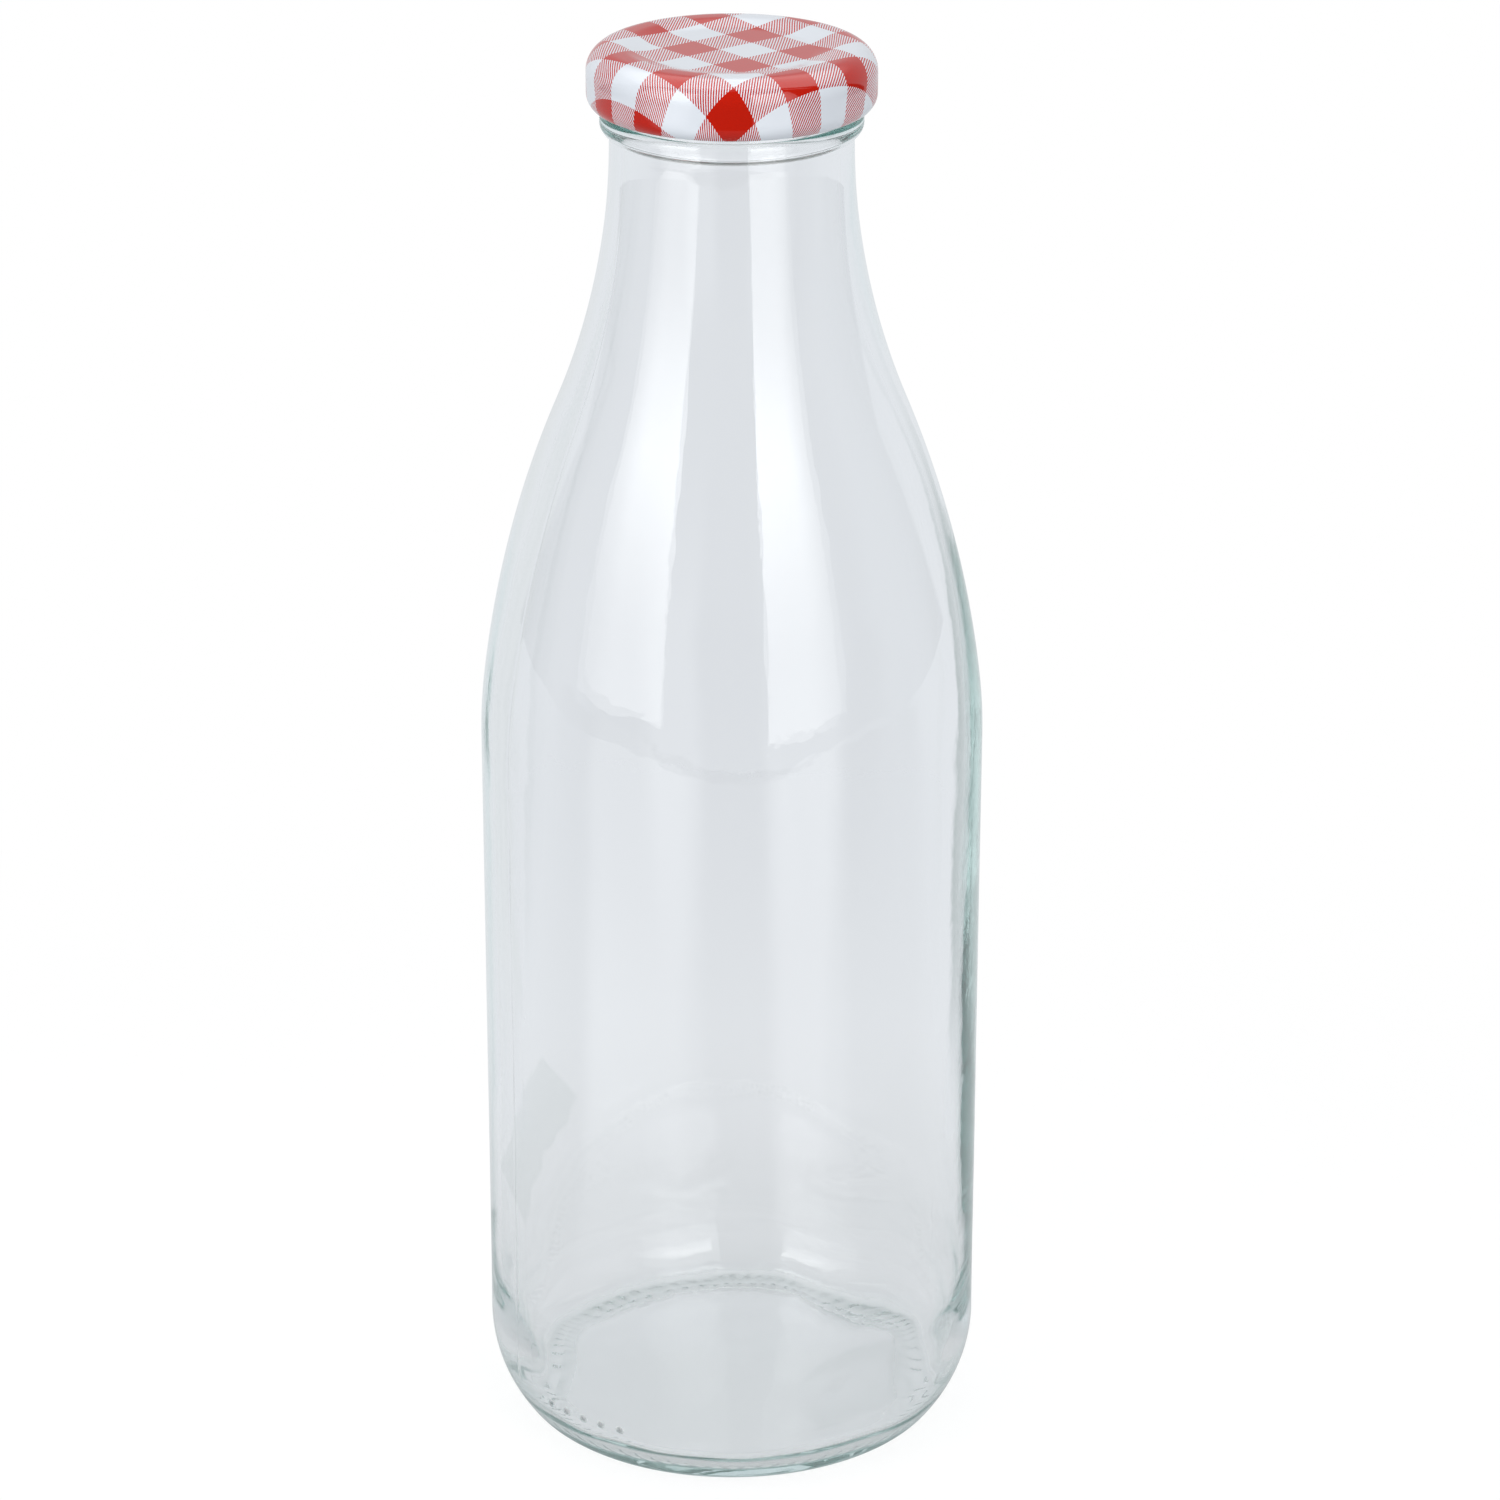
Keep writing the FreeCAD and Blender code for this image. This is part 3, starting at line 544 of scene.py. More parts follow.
def glass_section(size):
    """The glass from the underside of the base, up outside, over the lip and down inside."""
    ring_inner = size.ring_outer - size.ring_width
    dome = (ring_inner ** 2 + size.push_up ** 2) / (2 * size.push_up)
    heel_middle, heel_top = heel_centre(size)
    heel_turn = math.atan2(heel_top - size.toe_radius, size.ring_outer - heel_middle)
    heel_join = (heel_middle + size.heel_radius * math.cos(heel_turn),
                 heel_top - size.heel_radius * math.sin(heel_turn))
    wall_radius = size.body_radius - size.wall
    bore = size.neck_radius - size.wall
    outside = s_curve(size.body_radius, size.shoulder_start, size.edge_radius,
                      size.shoulder_start + size.edge_height, size.shoulder_radius,
                      size.neck_radius, size.neck_height)
    inner_edge = size.edge_radius - size.wall
    inside = s_curve(wall_radius, size.shoulder_start, inner_edge,
                     size.shoulder_start + size.edge_height * inner_edge / size.edge_radius,
                     size.shoulder_radius - size.wall, bore, size.neck_height)
    bead_radius = size.neck_radius + size.bead
    bead_round = (size.bead ** 2 + size.bead_under ** 2) / (2 * size.bead)
    bead_middle = size.neck_height + size.bead_under
    bead_shoulder = bead_middle + size.bead_land
    finish = size.neck_radius + size.finish_step
    bead_top_round = bead_radius - finish
    corner = finish + size.crease
    corner_low = bead_shoulder + math.sqrt(bead_top_round ** 2 - size.crease ** 2)
    inner_heel_top = size.floor_edge + size.inner_heel_radius
    floor_top = size.push_up + size.base_glass
    reach = wall_radius - size.inner_heel_radius
    drop = inner_heel_top - floor_top
    floor_radius = (reach ** 2 + drop ** 2 - size.inner_heel_radius ** 2) / (
        2 * (size.inner_heel_radius - drop))
    floor_middle = floor_top - floor_radius
    along = floor_radius / (floor_radius + size.inner_heel_radius)
    floor_join = (reach * along, floor_middle + (inner_heel_top - floor_middle) * along)
    crease_low = size.neck_height - size.crease * 0.75
    crease_end = size.neck_radius + size.crease * 0.765
    crease_top = bead_middle - math.sqrt(bead_round ** 2 - (crease_end - bead_radius + bead_round) ** 2)

    path = Section(0, size.push_up)
    path.arc(ring_inner, 0, 0, size.push_up - dome, 10)
    path.line(size.ring_outer, 0, 12)
    path.arc(*heel_join, size.ring_outer, size.toe_radius, 8)
    path.arc(size.body_radius, heel_top, heel_middle, heel_top, 20)
    path.line(size.body_radius, size.shoulder_start, 46)
    path.arc(*outside[0], *outside[1], 8)
    path.arc(*outside[2], *outside[3], 34)
    path.arc(size.neck_radius, crease_low, *outside[4], 32)
    path.arc(crease_end, crease_top, size.neck_radius + size.crease, crease_low, 4)
    path.arc(bead_radius, bead_middle, bead_radius - bead_round, bead_middle, 14)
    path.line(bead_radius, bead_shoulder, 2)
    path.arc(corner, corner_low, finish, bead_shoulder, 12)
    path.arc(finish, corner_low + size.crease, corner, corner_low + size.crease, 4)
    path.line(finish, size.mouth_top - size.lip, 40)
    path.arc(finish - size.lip, size.mouth_top, finish - size.lip, size.mouth_top - size.lip, 6)
    path.line(bore + size.lip, size.mouth_top, 2)
    path.turn_inside()
    path.arc(bore, size.mouth_top - size.lip, bore + size.lip, size.mouth_top - size.lip, 6)
    path.line(bore, size.neck_height, 14)
    path.arc(*inside[2], *inside[4], 30)
    path.arc(*inside[0], *inside[3], 32)
    path.arc(wall_radius, size.shoulder_start, *inside[1], 8)
    path.line(wall_radius, inner_heel_top, 60)
    path.arc(*floor_join, reach, inner_heel_top, 22)
    path.arc(0, floor_top, 0, floor_middle, 14)
    return path


def raise_bars(mesh, size):
    """Cuts the base ring back between short radial bars, which keep standing on the table."""
    ring_inner = size.ring_outer - size.ring_width
    margin, top, same = 0.8 * MM, 1.2 * MM, 0.01 * MM
    low, high = ring_inner - margin, size.ring_outer + margin
    near = [edge for edge in mesh.edges
            if all(v.co.z < top and low < v.co.xy.length < high for v in edge.verts)
            and abs(edge.verts[0].co.xy.length - edge.verts[1].co.xy.length) < same]
    bmesh.ops.subdivide_edges(mesh, edges=near, cuts=3, use_grid_fill=True)
    for vert in mesh.verts:
        radius = vert.co.xy.length
        if vert.co.z > top or not low - margin < radius < high + margin:
            continue
        turn = math.atan2(vert.co.y, vert.co.x) * size.bars / FULL_TURN
        off_middle = abs(turn - round(turn)) * 2
        bar = 1 - smooth_step(off_middle, 0.30, 0.72)
        bar *= window(radius, ring_inner + 0.35 * MM, size.ring_outer - 0.35 * MM, 0.5 * MM)
        cut = window(radius, ring_inner - 0.1 * MM, size.ring_outer + 0.1 * MM, margin)
        back = smooth_step(vert.co.y / radius, -0.3, 0.3)
        front_left = smooth_step(-(vert.co.x + vert.co.y) / radius, 1.1, 1.35)
        depth = size.bar_height * (1 + 1.5 * front_left - 0.6 * back)
        vert.co.z = max(0, vert.co.z + depth * cut * (1 - bar))


def raise_dots(mesh, size):
    """A short row of small round nubs on the heel, with painted dark shade that is darkest at their middles.
    """
    inside = mesh.verts.layers.float["inside"]
    painted_shade = mesh.verts.layers.float["painted_shade"]
    middle_radius, middle_height = heel_centre(size)
    lean = math.asin((middle_height - size.dot_height) / size.heel_radius)
    radius = middle_radius + size.heel_radius * math.cos(lean)
    turns = [size.dot_angle + number * size.dot_pitch for number in range(size.dots)]
    middles = [Vector((radius * math.cos(turn), radius * math.sin(turn), size.dot_height)) for turn in turns]
    around, darkest = 2.4 * MM, 0.75
    near = [edge for edge in mesh.edges if all(
        v[inside] < 0.5 and min((v.co - middle).length for middle in middles) < around for v in edge.verts)]
    bmesh.ops.subdivide_edges(mesh, edges=near, cuts=4, use_grid_fill=True)
    for vert in mesh.verts:
        away = min((vert.co - middle).length for middle in middles)
        if vert[inside] > 0.5 or away > around:
            continue
        ray = Vector((vert.co.x, vert.co.y, 0)).normalized()
        heel_middle = ray * middle_radius + Vector((0, 0, middle_height))
        dome = max(0, 1 - (away / size.dot_radius) ** 2)
        reach = size.heel_radius + size.dot_rise * dome
        # Painted shade: each nub darker towards its middle.
        vert[painted_shade] = darkest * dome
        vert.co = heel_middle + (vert.co - heel_middle).normalized() * reach


def raise_threads(mesh, size):
    """Swells the finish wall into four threads with rounded ends and a steep lower end."""
    inside = mesh.verts.layers.float["inside"]
    finish = size.neck_radius + size.finish_step
    low = size.neck_height + size.bead_under + size.bead_land + size.bead
    start = size.thread_angle - size.stop_run
    fade = math.radians(5)
    for vert in mesh.verts:
        off_wall = abs(vert.co.xy.length - finish)
        if vert.co.z < low or vert[inside] > 0.5 or off_wall > 0.05 * MM:
            continue
        turn = math.atan2(vert.co.y, vert.co.x)
        past = (turn - start) % (FULL_TURN / 4) + start - size.thread_angle
        lead = size.thread_lead if past > 0 else size.stop_lead
        under = size.thread_under + lead * past / FULL_TURN
        up = (vert.co.z - under) / size.thread_foot
        ridge = smooth_step(up, -0.05, 0.28) * (1 - smooth_step(up, 0.52, 1.05))
        ends = smooth_step(past, -size.stop_run - fade, -size.stop_run + fade)
        ends *= 1 - smooth_step(past, size.thread_run - fade, size.thread_run)
        grown = finish + size.thread_depth * ridge * ends
        vert.co.x, vert.co.y = grown * math.cos(turn), grown * math.sin(turn)


def waves(place, across, along, start=0):
    """A swing between -1 and 1, with waves of two lengths in mm: across the wall and along it."""
    return noise.noise(Vector((place.x / across, place.y / across, place.z / along + start)))


def push_walls(mesh, wanted, shift):
    """Moves each wanted point along its normal by a shift that depends on its place in mm."""
    mesh.normal_update()
    moves = [(vert, vert.normal * shift(vert.co / MM)) for vert in mesh.verts if wanted(vert)]
    for vert, move in moves:
        vert.co += move


def unsettle_inside(mesh, size):
    """Moves the inner wall off its true shape, as blown glass is: slow swells and a finer ripple."""
    inside = mesh.verts.layers.float["inside"]

    def shift(place):
        lump = window(place.z, 4, 20, 6) * noise.noise(place / 11 + Vector((5, 0, 0)))
        swell = size.unevenness * (waves(place, 24, 150) + 0.5 * lump)
        rough = 0.35 + 0.65 * window(place.z, 5, 165, 20)
        ripple = size.ripple * rough * waves(place, 7, 9, 31)
        foot = size.foot * smooth_step(place.z, 4, 11) * (1 - smooth_step(place.z, 11, 30))
        return (swell + ripple + foot) * (1 - smooth_step(place.z, 225, 245))

    push_walls(mesh, lambda vert: vert[inside] >= 0.5, shift)


def unsettle_outside(mesh, size):
    """Lets the outer wall sink below its true shape, in slow waves and, at the front, fine dimples."""
    inside = mesh.verts.layers.float["inside"]

    def shift(place):
        slow = 0.5 + 0.5 * waves(place, 17, 38, 11)
        fine = 0.5 + 0.5 * waves(place, 3.2, 4, 3)
        fine *= 0.3 + 0.7 * window(place.z, 125, 180, 30)
        fine *= smooth_step(-place.y / place.xy.length, 0.5, 0.8)
        return -window(place.z, 26, 228, 14) * (size.sink * slow + size.dimple * fine)

    push_walls(mesh, lambda vert: vert[inside] <= 0.5 and 12 * MM < vert.co.z < 242 * MM, shift)


def cut_beside_seam(mesh, size, half_width):
    """Cuts the outer wall along both seams and a little to each side of them."""
    inside = mesh.verts.layers.float["inside"]
    for turn in (-half_width, 0, half_width):
        across = size.seam_angle + turn + math.pi / 2
        faces = [f for f in mesh.faces if all(v[inside] < 0.5 for v in f.verts)
                 and SEAM_LOW < f.calc_center_median().z < SEAM_HIGH]
        edges = [e for f in faces for e in f.edges]
        verts = [v for f in faces for v in f.verts]
        geometry = list(dict.fromkeys([*faces, *edges, *verts]))
        bmesh.ops.bisect_plane(mesh, geom=geometry, dist=TOUCH, plane_co=(0, 0, 0),
                               plane_no=(math.cos(across), math.sin(across), 0))


def raise_seam(mesh, size):
    """Two hairline ridges, opposite each other, where the halves of the mould met.

    The one at the front is the stronger, and carries painted dark shade for most of its height."""
    inside = mesh.verts.layers.float["inside"]
    painted_shade = mesh.verts.layers.float["painted_shade"]
    half_width = math.radians(0.28)
    cut_beside_seam(mesh, size, half_width)
    normal = Vector((-math.sin(size.seam_angle), math.cos(size.seam_angle), 0))
    side = Vector((math.cos(size.seam_angle), math.sin(size.seam_angle), 0))
    for vert in mesh.verts:
        if vert[inside] > 0.5 or not SEAM_LOW < vert.co.z < SEAM_HIGH:
            continue
        away = vert.co.dot(normal) / vert.co.xy.length
        if abs(away) > 1.2 * math.sin(half_width):
            continue
        half = 1 if vert.co.dot(side) > 0 else -1
        height = vert.co.z / MM
        wander = MM * (0.10 * noise.noise(Vector((half * 9, 0, height / 7)))
                       + 0.35 * noise.noise(Vector((half * 6, 5, height / 40))))
        on_ridge = abs(away) < 0.3 * math.sin(half_width)
        swell = 0.35 + 0.65 * max(0, noise.noise(Vector((half * 4, 3, height / 13))) + 0.3)
        ridge = size.seam_height * swell * on_ridge * (1.0 if half > 0 else 0.4)
        # Painted shade: dark along the front seam's ridge for most of its height.
        if half > 0 and 16 < height < 150:
            vert[painted_shade] = on_ridge * (swell - 0.3)
        out = Vector((vert.co.x, vert.co.y, 0)).normalized()
        vert.co += (out * ridge + normal * wander) * window(height, 16, 224, 8)


class BOTTLE_OT_glass(Operator):
    """Build the glass, with its threads, bead, base bars, heel nubs, mould seams and uneven walls"""

    bl_idname = "bottle.glass"
    bl_label = "Glass"

    def execute(self, context):
        size = context.scene.bottle_settings
        mesh = glass_section(size).spun(180)
        raise_bars(mesh, size)
        raise_dots(mesh, size)
        raise_threads(mesh, size)
        unsettle_inside(mesh, size)
        unsettle_outside(mesh, size)
        raise_seam(mesh, size)
        put_piece(mesh, "glass_bottle", "bottle", "glass", [glass_material(size)], "bottle")
        return {"FINISHED"}


def lid_section(size):
    """The outside of the pressed sheet, from the middle of the panel to the end of the rolled edge."""
    rim_outer = size.radius - size.shoulder
    rim_inner = rim_outer - size.rim_flat
    panel_radius = rim_inner - size.rim_slope
    panel_top = size.top - size.panel_depth
    slope = math.atan2(size.panel_depth, size.rim_slope)
    run = size.slope_round * math.tan(slope / 2)
    along = (run * math.cos(slope), run * math.sin(slope))
    shoulder_foot = size.top - size.shoulder
    curl_height = size.bottom + size.curl
    turn_middle = size.radius - size.turn
    turn = math.acos((size.curl_middle - turn_middle) / (size.turn - size.curl))
    turn_height = curl_height + (size.turn - size.curl) * math.sin(turn)
    join = (size.curl_middle + size.curl * math.cos(turn), curl_height - size.curl * math.sin(turn))

    path = Section(0, panel_top)
    path.line(panel_radius - run, panel_top, 14)
    path.arc(panel_radius + along[0], panel_top + along[1], panel_radius - run,
             panel_top + size.slope_round, 5)
    path.line(rim_inner - along[0], size.top - along[1], 4)
    path.arc(rim_inner + run, size.top, rim_inner + run, size.top - size.slope_round, 5)
    path.line(rim_outer, size.top, 2)
    path.arc(size.radius, shoulder_foot, rim_outer, shoulder_foot, 16)
    path.line(size.radius, turn_height, 6)
    path.arc(*join, turn_middle, turn_height, 8)
    path.arc(size.curl_middle, curl_height - size.curl, size.curl_middle, curl_height, 4)
    path.arc(size.curl_middle - size.curl, curl_height, size.curl_middle, curl_height, 6)
    path.arc(size.curl_middle, curl_height + size.curl, size.curl_middle, curl_height, 6)
    path.lay_flat(size.drawn, panel_radius, rim_outer)
    return path


def dent_panel(mesh, size):
    """A slight unevenness of the pressed sheet."""
    for vert in mesh.verts:
        place = vert.co / MM
        vert.co.z -= size.dent * (0.5 + 0.5 * noise.noise(Vector((place.x / 9, place.y / 9, 7))))


def lay_blank(mesh, size):
    """Maps the print from the flat blank that the lid was drawn from."""
    layer = mesh.loops.layers.uv.new("blank")
    blank = mesh.verts.layers.float["blank"]
    for face in mesh.faces:
        for loop in face.loops:
            vert = loop.vert
            across = vert.co.xy.normalized() if vert.co.xy.length > TOUCH else Vector((0, 0))
            loop[layer].uv = across * vert[blank] / size.blank + Vector((0.5, 0.5))


def lug_mesh(size, turn):
    """One lug: a rounded band pressed inwards from the rolled edge."""
    low = size.bottom + size.lug_rise
    round_off = 0.3 * MM
    path = Section(size.lug_inner, low + round_off)
    path.line(size.lug_inner, low + size.lug_thickness - round_off)
    path.arc(size.lug_inner + round_off, low + size.lug_thickness,
             size.lug_inner + round_off, low + size.lug_thickness - round_off, 3)
    path.line(size.curl_middle, low + size.lug_thickness, 3)
    path.line(size.curl_middle, low)
    path.line(size.lug_inner + round_off, low, 3)
    path.arc(size.lug_inner, low + round_off, size.lug_inner + round_off, low + round_off, 3)
    mesh = path.mesh
    bmesh.ops.remove_doubles(mesh, verts=mesh.verts[:], dist=TOUCH * 10)
    reach = size.lug_width / size.lug_inner
    bmesh.ops.rotate(mesh, verts=mesh.verts[:], cent=(0, 0, 0),
                     matrix=Matrix.Rotation(turn - reach / 2, 3, "Z"))
    bmesh.ops.spin(mesh, geom=mesh.verts[:] + mesh.edges[:], cent=(0, 0, 0), axis=(0, 0, 1),
                   angle=reach, steps=12)
    ends = [edge for edge in mesh.edges if edge.is_boundary]
    bmesh.ops.holes_fill(mesh, edges=ends, sides=0)
    rims = [edge for edge in ends if edge.is_valid]
    bmesh.ops.bevel(mesh, geom=rims, offset=0.2 * MM, affect="EDGES", segments=2, profile=0.5, material=-1)
    bmesh.ops.recalc_face_normals(mesh, faces=mesh.faces[:])
    return mesh


class BOTTLE_OT_lid(Operator):
    """Build the pressed lid with its checked print, and its lugs"""

    bl_idname = "bottle.lid"
    bl_label = "Lid"

    def execute(self, context):
        size = context.scene.lid_settings
        print_finish, lacquer = print_material(size), lacquer_material(size)
        mesh = lid_section(size).spun(216)
        dent_panel(mesh, size)
        lay_blank(mesh, size)
        upward = max(mesh.faces, key=lambda face: face.calc_center_median().z)
        if upward.normal.z < 0:
            bmesh.ops.reverse_faces(mesh, faces=mesh.faces[:])
        outside = set(mesh.faces)
        bmesh.ops.solidify(mesh, geom=mesh.faces[:], thickness=size.sheet)
        for face in mesh.faces:
            face.material_index = 0 if face in outside else 1
        put_piece(mesh, "printed_lid", "lid", "printed_tin", [print_finish, lacquer], "lid_shell")
        for number in range(size.lugs):
            mesh = lug_mesh(size, size.lug_angle + number * FULL_TURN / size.lugs)
            put_piece(mesh, f"lid_lug_{number + 1}", "lid", "printed_tin", [lacquer], "lid_shell")
        return {"FINISHED"}


class BOTTLE_OT_seal(Operator):
    """Build the ring of soft compound under the rim of the lid"""

    bl_idname = "bottle.seal"
    bl_label = "Sealing ring"

    def execute(self, context):
        size = context.scene.lid_settings
        low, high = SEAL_BOX[0].z, SEAL_BOX[1].z
        outer = SEAL_BOX[1].x
        rim_outer = size.radius - size.shoulder
        inner = rim_outer - size.rim_flat + 0.1 * MM
        upper_outer = rim_outer - 0.1 * MM
        soft = 0.2 * MM
        path = Section(inner + soft, low)
        path.line(outer - soft, low, 6)
        path.arc(outer, low + soft, outer - soft, low + soft, 4)
        path.line(outer, low + 0.45 * MM)
        path.line(upper_outer, high, 4)
        path.line(inner + soft, high, 4)
        path.arc(inner, high - soft, inner + soft, high - soft, 4)
        path.line(inner, low + soft)
        path.arc(inner + soft, low, inner + soft, low + soft, 4)
        bmesh.ops.remove_doubles(path.mesh, verts=path.mesh.verts[:], dist=TOUCH * 10)
        compound = compound_material(size)
        put_piece(path.spun(144), "sealing_compound", "seal", "seal", [compound], "sealing_ring")
        return {"FINISHED"}


def softbox(name, from_front, distance, width, low, high, radiance):
    """An upright light that faces the bottle, at an angle to the right of the front.

    It is dimmer at its foot and its outer side. Light that bounced often inside the glass doesn't show it."""
    lamp = bpy.data.lights.new(name, "AREA")
    lamp.shape = "RECTANGLE"
    lamp.size, lamp.size_y = width, high - low
    lamp.energy = radiance * width * (high - low) * 4
    lamp.use_nodes = True
    lamp.node_tree.nodes.clear()
    nodes = Nodes(lamp.node_tree)
    place = nodes.add("NewGeometry").outputs["Parametric"]
    across, along, _ = nodes.split(place)
    even = nodes.ramp(along, 0.10, 0.50, 0.42, 1.0)
    outwards = across if from_front > 0 else nodes.sum("SUBTRACT", 1.0, across)
    edge = nodes.ramp(outwards, 0.55, 1.0, 1.0, 0.45)
    bounced = nodes.sum("LESS_THAN", nodes.add("LightPath").outputs["Glossy Depth"], 2.5)
    glow = nodes.add("Emission", {"Strength": nodes.times(nodes.times(even, edge), bounced)})
    nodes.feed(nodes.add("OutputLight").inputs["Surface"], glow.outputs[0])
    light = bpy.data.objects.new(name, lamp)
    turn = math.radians(from_front)
    light.location = (distance * math.sin(turn), -distance * math.cos(turn), (low + high) / 2)
    light.rotation_euler = (math.radians(90), 0, turn)
    light.visible_camera = False
    bpy.context.scene.collection.objects.link(light)


def card(name, near, far, behind, height, pale, painted_shade):
    """An upright card just outside the bottle's outline, behind it, which only the glass shows.

    It is pale at its near edge, foot and top, darker elsewhere, and less dark further out."""
    mesh = bmesh.new()
    foot = mesh.verts.new((near, behind, 0))
    top = bmesh.ops.extrude_vert_indiv(mesh, verts=[foot])
    bmesh.ops.translate(mesh, verts=top["verts"], vec=(0, 0, height))
    side = bmesh.ops.extrude_edge_only(mesh, edges=mesh.edges[:])
    moved = [item for item in side["geom"] if isinstance(item, bmesh.types.BMVert)]
    bmesh.ops.translate(mesh, verts=moved, vec=(far - near, 0, 0))
    data = bpy.data.meshes.new(name)
    mesh.to_mesh(data)
    mesh.free()
    material, nodes, output = new_material(name)
    across, _, up = nodes.split(nodes.place())
    outwards = nodes.sum("ABSOLUTE", across)
    from_edge = nodes.ramp(outwards, abs(near), abs(near) + 6 * MM)
    band = nodes.times(from_edge, nodes.ramp(outwards, 74 * MM, 100 * MM, 1.0, 0.25))
    from_foot = nodes.ramp(up, 0.0, 50 * MM)
    upright = nodes.times(from_foot, nodes.ramp(up, 0.6 * height, height, 1.0, 0.0))
    deepness = nodes.times(band, upright)
    glow = nodes.add("Emission", {"Color": nodes.mix(deepness, opaque(pale), opaque(painted_shade)), "Strength": 1.0})
    nodes.feed(output.inputs["Surface"], glow.outputs[0])
    data.materials.append(material)
    sheet = bpy.data.objects.new(name, data)
    sheet.visible_camera = False
    sheet.visible_diffuse = False
    sheet.visible_glossy = False
    sheet.visible_shadow = False
    bpy.context.scene.collection.objects.link(sheet)


def backdrop(settings):
    """A white surround for the camera, and what gloss and glass show of it."""
    world = bpy.data.worlds.new("studio")
    bpy.context.scene.world = world
    world.use_nodes = True
    world.node_tree.nodes.clear()
    nodes = Nodes(world.node_tree)
    path = nodes.add("LightPath").outputs
    towards = nodes.add("TexCoord").outputs["Generated"]
    _, back, up = nodes.split(towards)
    tent_back, tent_up = 0.803, 0.596
    tent = nodes.sum("MULTIPLY_ADD", back, tent_back, nodes.times(up, tent_up))
    cloth = nodes.mix(nodes.ramp(up, 0.5, 0.8), opaque(settings.tent), opaque([settings.overhead] * 3))
    gloss = nodes.mix(nodes.ramp(tent, 0.31, 0.35), opaque(settings.room), cloth)
    strip = nodes.times(nodes.ramp(tent, 0.20, 0.21), nodes.ramp(tent, 0.245, 0.255, 1.0, 0.0))
    strip = nodes.times(strip, nodes.ramp(up, 0.6, 0.7))
    gloss = nodes.mix(strip, gloss, LIGHT_STRIP)
    around = nodes.mix(nodes.ramp(up, 0.0, 0.9), opaque(settings.fill), opaque(settings.ceiling))
    above = nodes.ramp(up, 0.25, 0.7)
    glass = nodes.mix(above, opaque(settings.through), THROUGH_ABOVE)
    seen = nodes.mix(path["Is Glossy Ray"], around, gloss)
    seen = nodes.mix(path["Is Transmission Ray"], seen, glass)
    seen = nodes.mix(path["Is Camera Ray"], seen, WHITE)
    shade = nodes.add("Background", {"Color": seen, "Strength": 1.0})
    nodes.feed(nodes.add("OutputWorld").inputs["Surface"], shade.outputs[0])


def table_colour(nodes, settings, across, back, front, away):
    """The floor as gloss shows it: dark in front, with the lights' two streaks, and paler behind."""
    behind = nodes.ramp(back, -120 * MM, 160 * MM, 1.0, 0.0)
    table = nodes.mix(behind, opaque(settings.lit_table), opaque(settings.table))
    azimuth = nodes.sum("ARCTAN2", across, nodes.times(back, -1.0))
    blur = 5
    for middle, half_width in ((-42, 23), (34, 15)):
        off = nodes.sum("ABSOLUTE", nodes.sum("SUBTRACT", azimuth, math.radians(middle)))
        streak = nodes.ramp(off, math.radians(half_width - blur), math.radians(half_width + blur), 1.0, 0.0)
        streak = nodes.times(streak, nodes.ramp(away, 60 * MM, 220 * MM))
        table = nodes.mix(nodes.times(streak, front), table, TABLE_STREAK)
    off_table = nodes.ramp(back, -settings.table_front - 4 * MM, -settings.table_front, 1.0, 0.0)
    return nodes.mix(off_table, table, opaque(settings.room))


def floor_material(settings):
    """Pale paper that keeps the bottle's shadow and runs out into the white surround.

    Gloss and the far wall of the glass show the table; from below the floor is not seen."""
    material, nodes, output = new_material("pale_floor")
    path = nodes.add("LightPath").outputs
    place = nodes.place()
    across, back, _ = nodes.split(place)
    away = nodes.add("VectorMath", {0: place}, operation="LENGTH").outputs["Value"]
    grain = nodes.ramp(nodes.noise(place, 300.0, 4.0), 0.2, 0.8, 0.97, 1.0)
    paper = nodes.mix(grain, opaque([0.97 * c for c in settings.floor]), opaque(settings.floor))
    lit = nodes.add("BsdfDiffuse", {"Color": paper})
    front = nodes.ramp(back, -60 * MM, 40 * MM, 1.0, 0.0)
    shown_table = table_colour(nodes, settings, across, back, front, away)
    table = nodes.add("Emission", {"Color": shown_table, "Strength": 1.0})
    near = nodes.ramp(away, 50 * MM, 300 * MM, 0.22, 0.0)
    contact = opaque([settings.shade * c for c in settings.through])
    shaded = nodes.mix(nodes.ramp(away, 35 * MM, 170 * MM), contact, opaque(settings.through))
    bounced = nodes.sum("GREATER_THAN", path["Glossy Depth"], 0.5)
    behind = nodes.mix(nodes.times(front, bounced), shaded, shown_table)
    white = nodes.mix(path["Is Transmission Ray"], WHITE, behind)
    glow = nodes.add("Emission", {"Color": white, "Strength": 1.0})
    shown = nodes.add("MixShader", {0: near, 1: glow.outputs[0], 2: lit.outputs[0]})
    direct = nodes.sum("MAXIMUM", path["Is Camera Ray"], path["Is Transmission Ray"])
    both = nodes.add("MixShader", {0: direct, 1: table.outputs[0], 2: shown.outputs[0]})
    below = nodes.times(path["Is Camera Ray"], nodes.add("NewGeometry").outputs["Backfacing"])
    clear = nodes.add("BsdfTransparent")
    surface = nodes.add("MixShader", {0: below, 1: both.outputs[0], 2: clear.outputs[0]})
    nodes.feed(output.inputs["Surface"], surface.outputs[0])
    return material


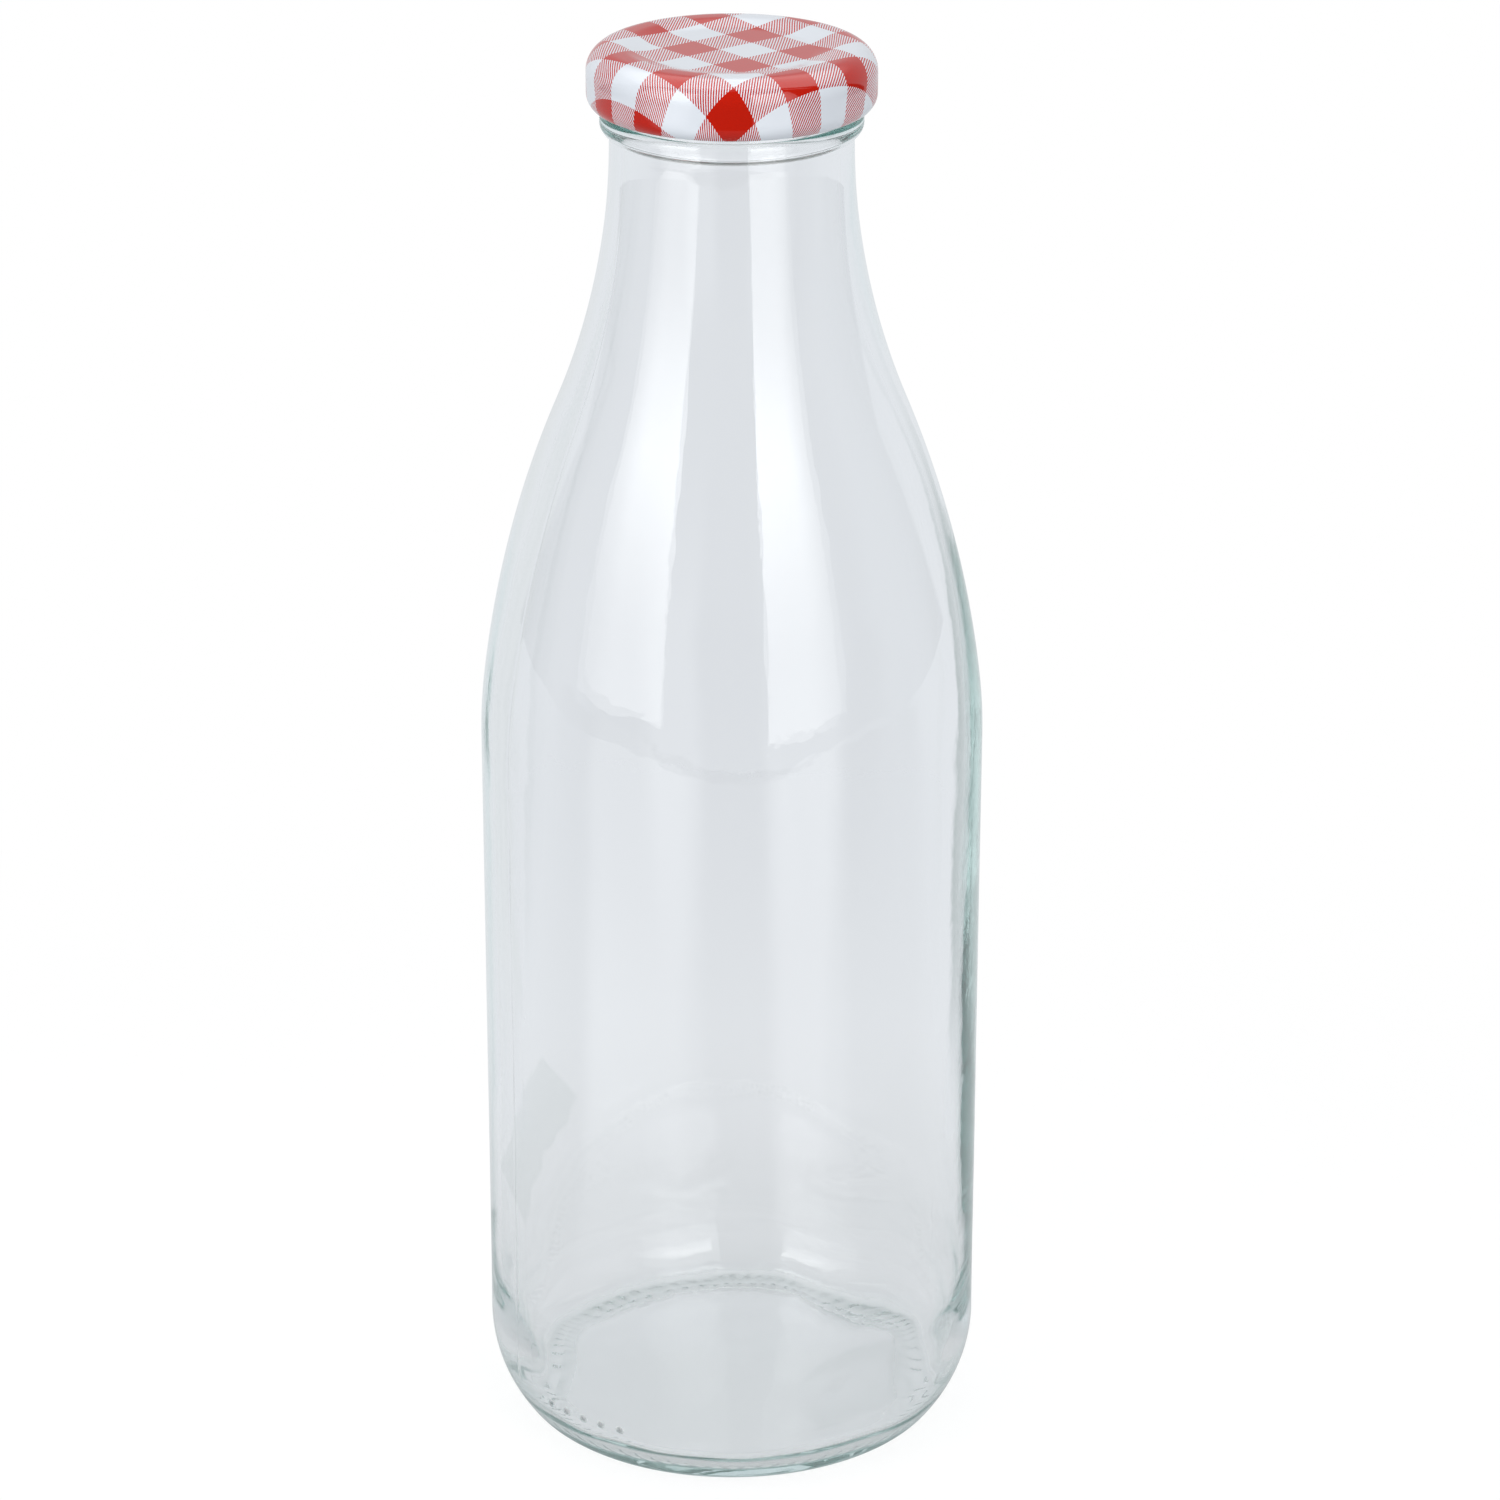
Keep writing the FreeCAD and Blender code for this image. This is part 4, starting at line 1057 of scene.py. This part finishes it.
class BOTTLE_OT_stage(Operator):
    """Set up the camera, the floor, the white surround and the light"""

    bl_idname = "bottle.stage"
    bl_label = "Stage"

    def execute(self, context):
        settings = context.scene.stage_settings
        scene = context.scene
        scene.view_settings.view_transform = "Standard"
        for kind in ("max", "transmission", "glossy"):
            setattr(scene.cycles, f"{kind}_bounces", 128)

        camera = bpy.data.objects.new("camera", bpy.data.cameras.new("camera"))
        camera.data.sensor_width = SENSOR_WIDTH
        camera.data.lens = settings.camera_lens
        camera.data.shift_x = settings.camera_shift
        camera.data.clip_start, camera.data.clip_end = 0.05, 20
        tilt = settings.camera_tilt
        camera.location = (0, -settings.camera_distance * math.cos(tilt),
                           settings.camera_aim + settings.camera_distance * math.sin(tilt))
        camera.rotation_euler = (math.pi / 2 - tilt, 0, 0)
        scene.collection.objects.link(camera)
        scene.camera = camera

        mesh = bmesh.new()
        bmesh.ops.create_circle(mesh, cap_ends=True, radius=settings.floor_radius, segments=96)
        bmesh.ops.translate(mesh, verts=mesh.verts[:], vec=(0, 0, -FLOOR_GAP))
        data = bpy.data.meshes.new("floor")
        mesh.to_mesh(data)
        mesh.free()
        data.materials.append(floor_material(settings))
        floor = bpy.data.objects.new("floor", data)
        scene.collection.objects.link(floor)

        backdrop(settings)
        softbox("softbox_left", from_front=-52.5, distance=0.55, width=0.433, low=0.095, high=0.80,
                radiance=2.6)
        softbox("softbox_right", from_front=34.5, distance=0.55, width=0.365, low=0.087, high=0.80,
                radiance=2.6)
        pale = tuple(settings.through)
        card("card_left", near=-0.056, far=-0.18, behind=0.10, height=0.25, pale=pale,
             painted_shade=(0.74, 0.77, 0.79))
        card("card_right", near=0.059, far=0.18, behind=0.10, height=0.20, pale=pale,
             painted_shade=(0.24, 0.31, 0.30))
        return {"FINISHED"}


class BOTTLE_PT_panel(Panel):
    bl_idname = "BOTTLE_PT_panel"
    bl_label = "Milk bottle"
    bl_space_type = "VIEW_3D"
    bl_region_type = "UI"
    bl_category = "Milk bottle"

    def draw(self, context):
        for step in STEPS:
            self.layout.operator(step.bl_idname)
        for name in ("bottle_settings", "lid_settings", "stage_settings"):
            box = self.layout.box()
            group = getattr(context.scene, name)
            for field in group.bl_rna.properties.keys():
                if field not in ("rna_type", "name"):
                    box.prop(group, field)


STEPS = (BOTTLE_OT_glass, BOTTLE_OT_lid, BOTTLE_OT_seal, BOTTLE_OT_stage)
CLASSES = (BottleSettings, LidSettings, StageSettings, *STEPS, BOTTLE_PT_panel)


def register():
    for item in CLASSES:
        bpy.utils.register_class(item)
    bpy.types.Scene.bottle_settings = PointerProperty(type=BottleSettings)
    bpy.types.Scene.lid_settings = PointerProperty(type=LidSettings)
    bpy.types.Scene.stage_settings = PointerProperty(type=StageSettings)


def unregister():
    del bpy.types.Scene.stage_settings
    del bpy.types.Scene.lid_settings
    del bpy.types.Scene.bottle_settings
    for item in reversed(CLASSES):
        bpy.utils.unregister_class(item)


def main():
    register()
    bpy.ops.bottle.glass()
    bpy.ops.bottle.lid()
    bpy.ops.bottle.seal()
    bpy.ops.bottle.stage()
    bpy.context.view_layer.update()


if __name__ == "__main__":
    main()
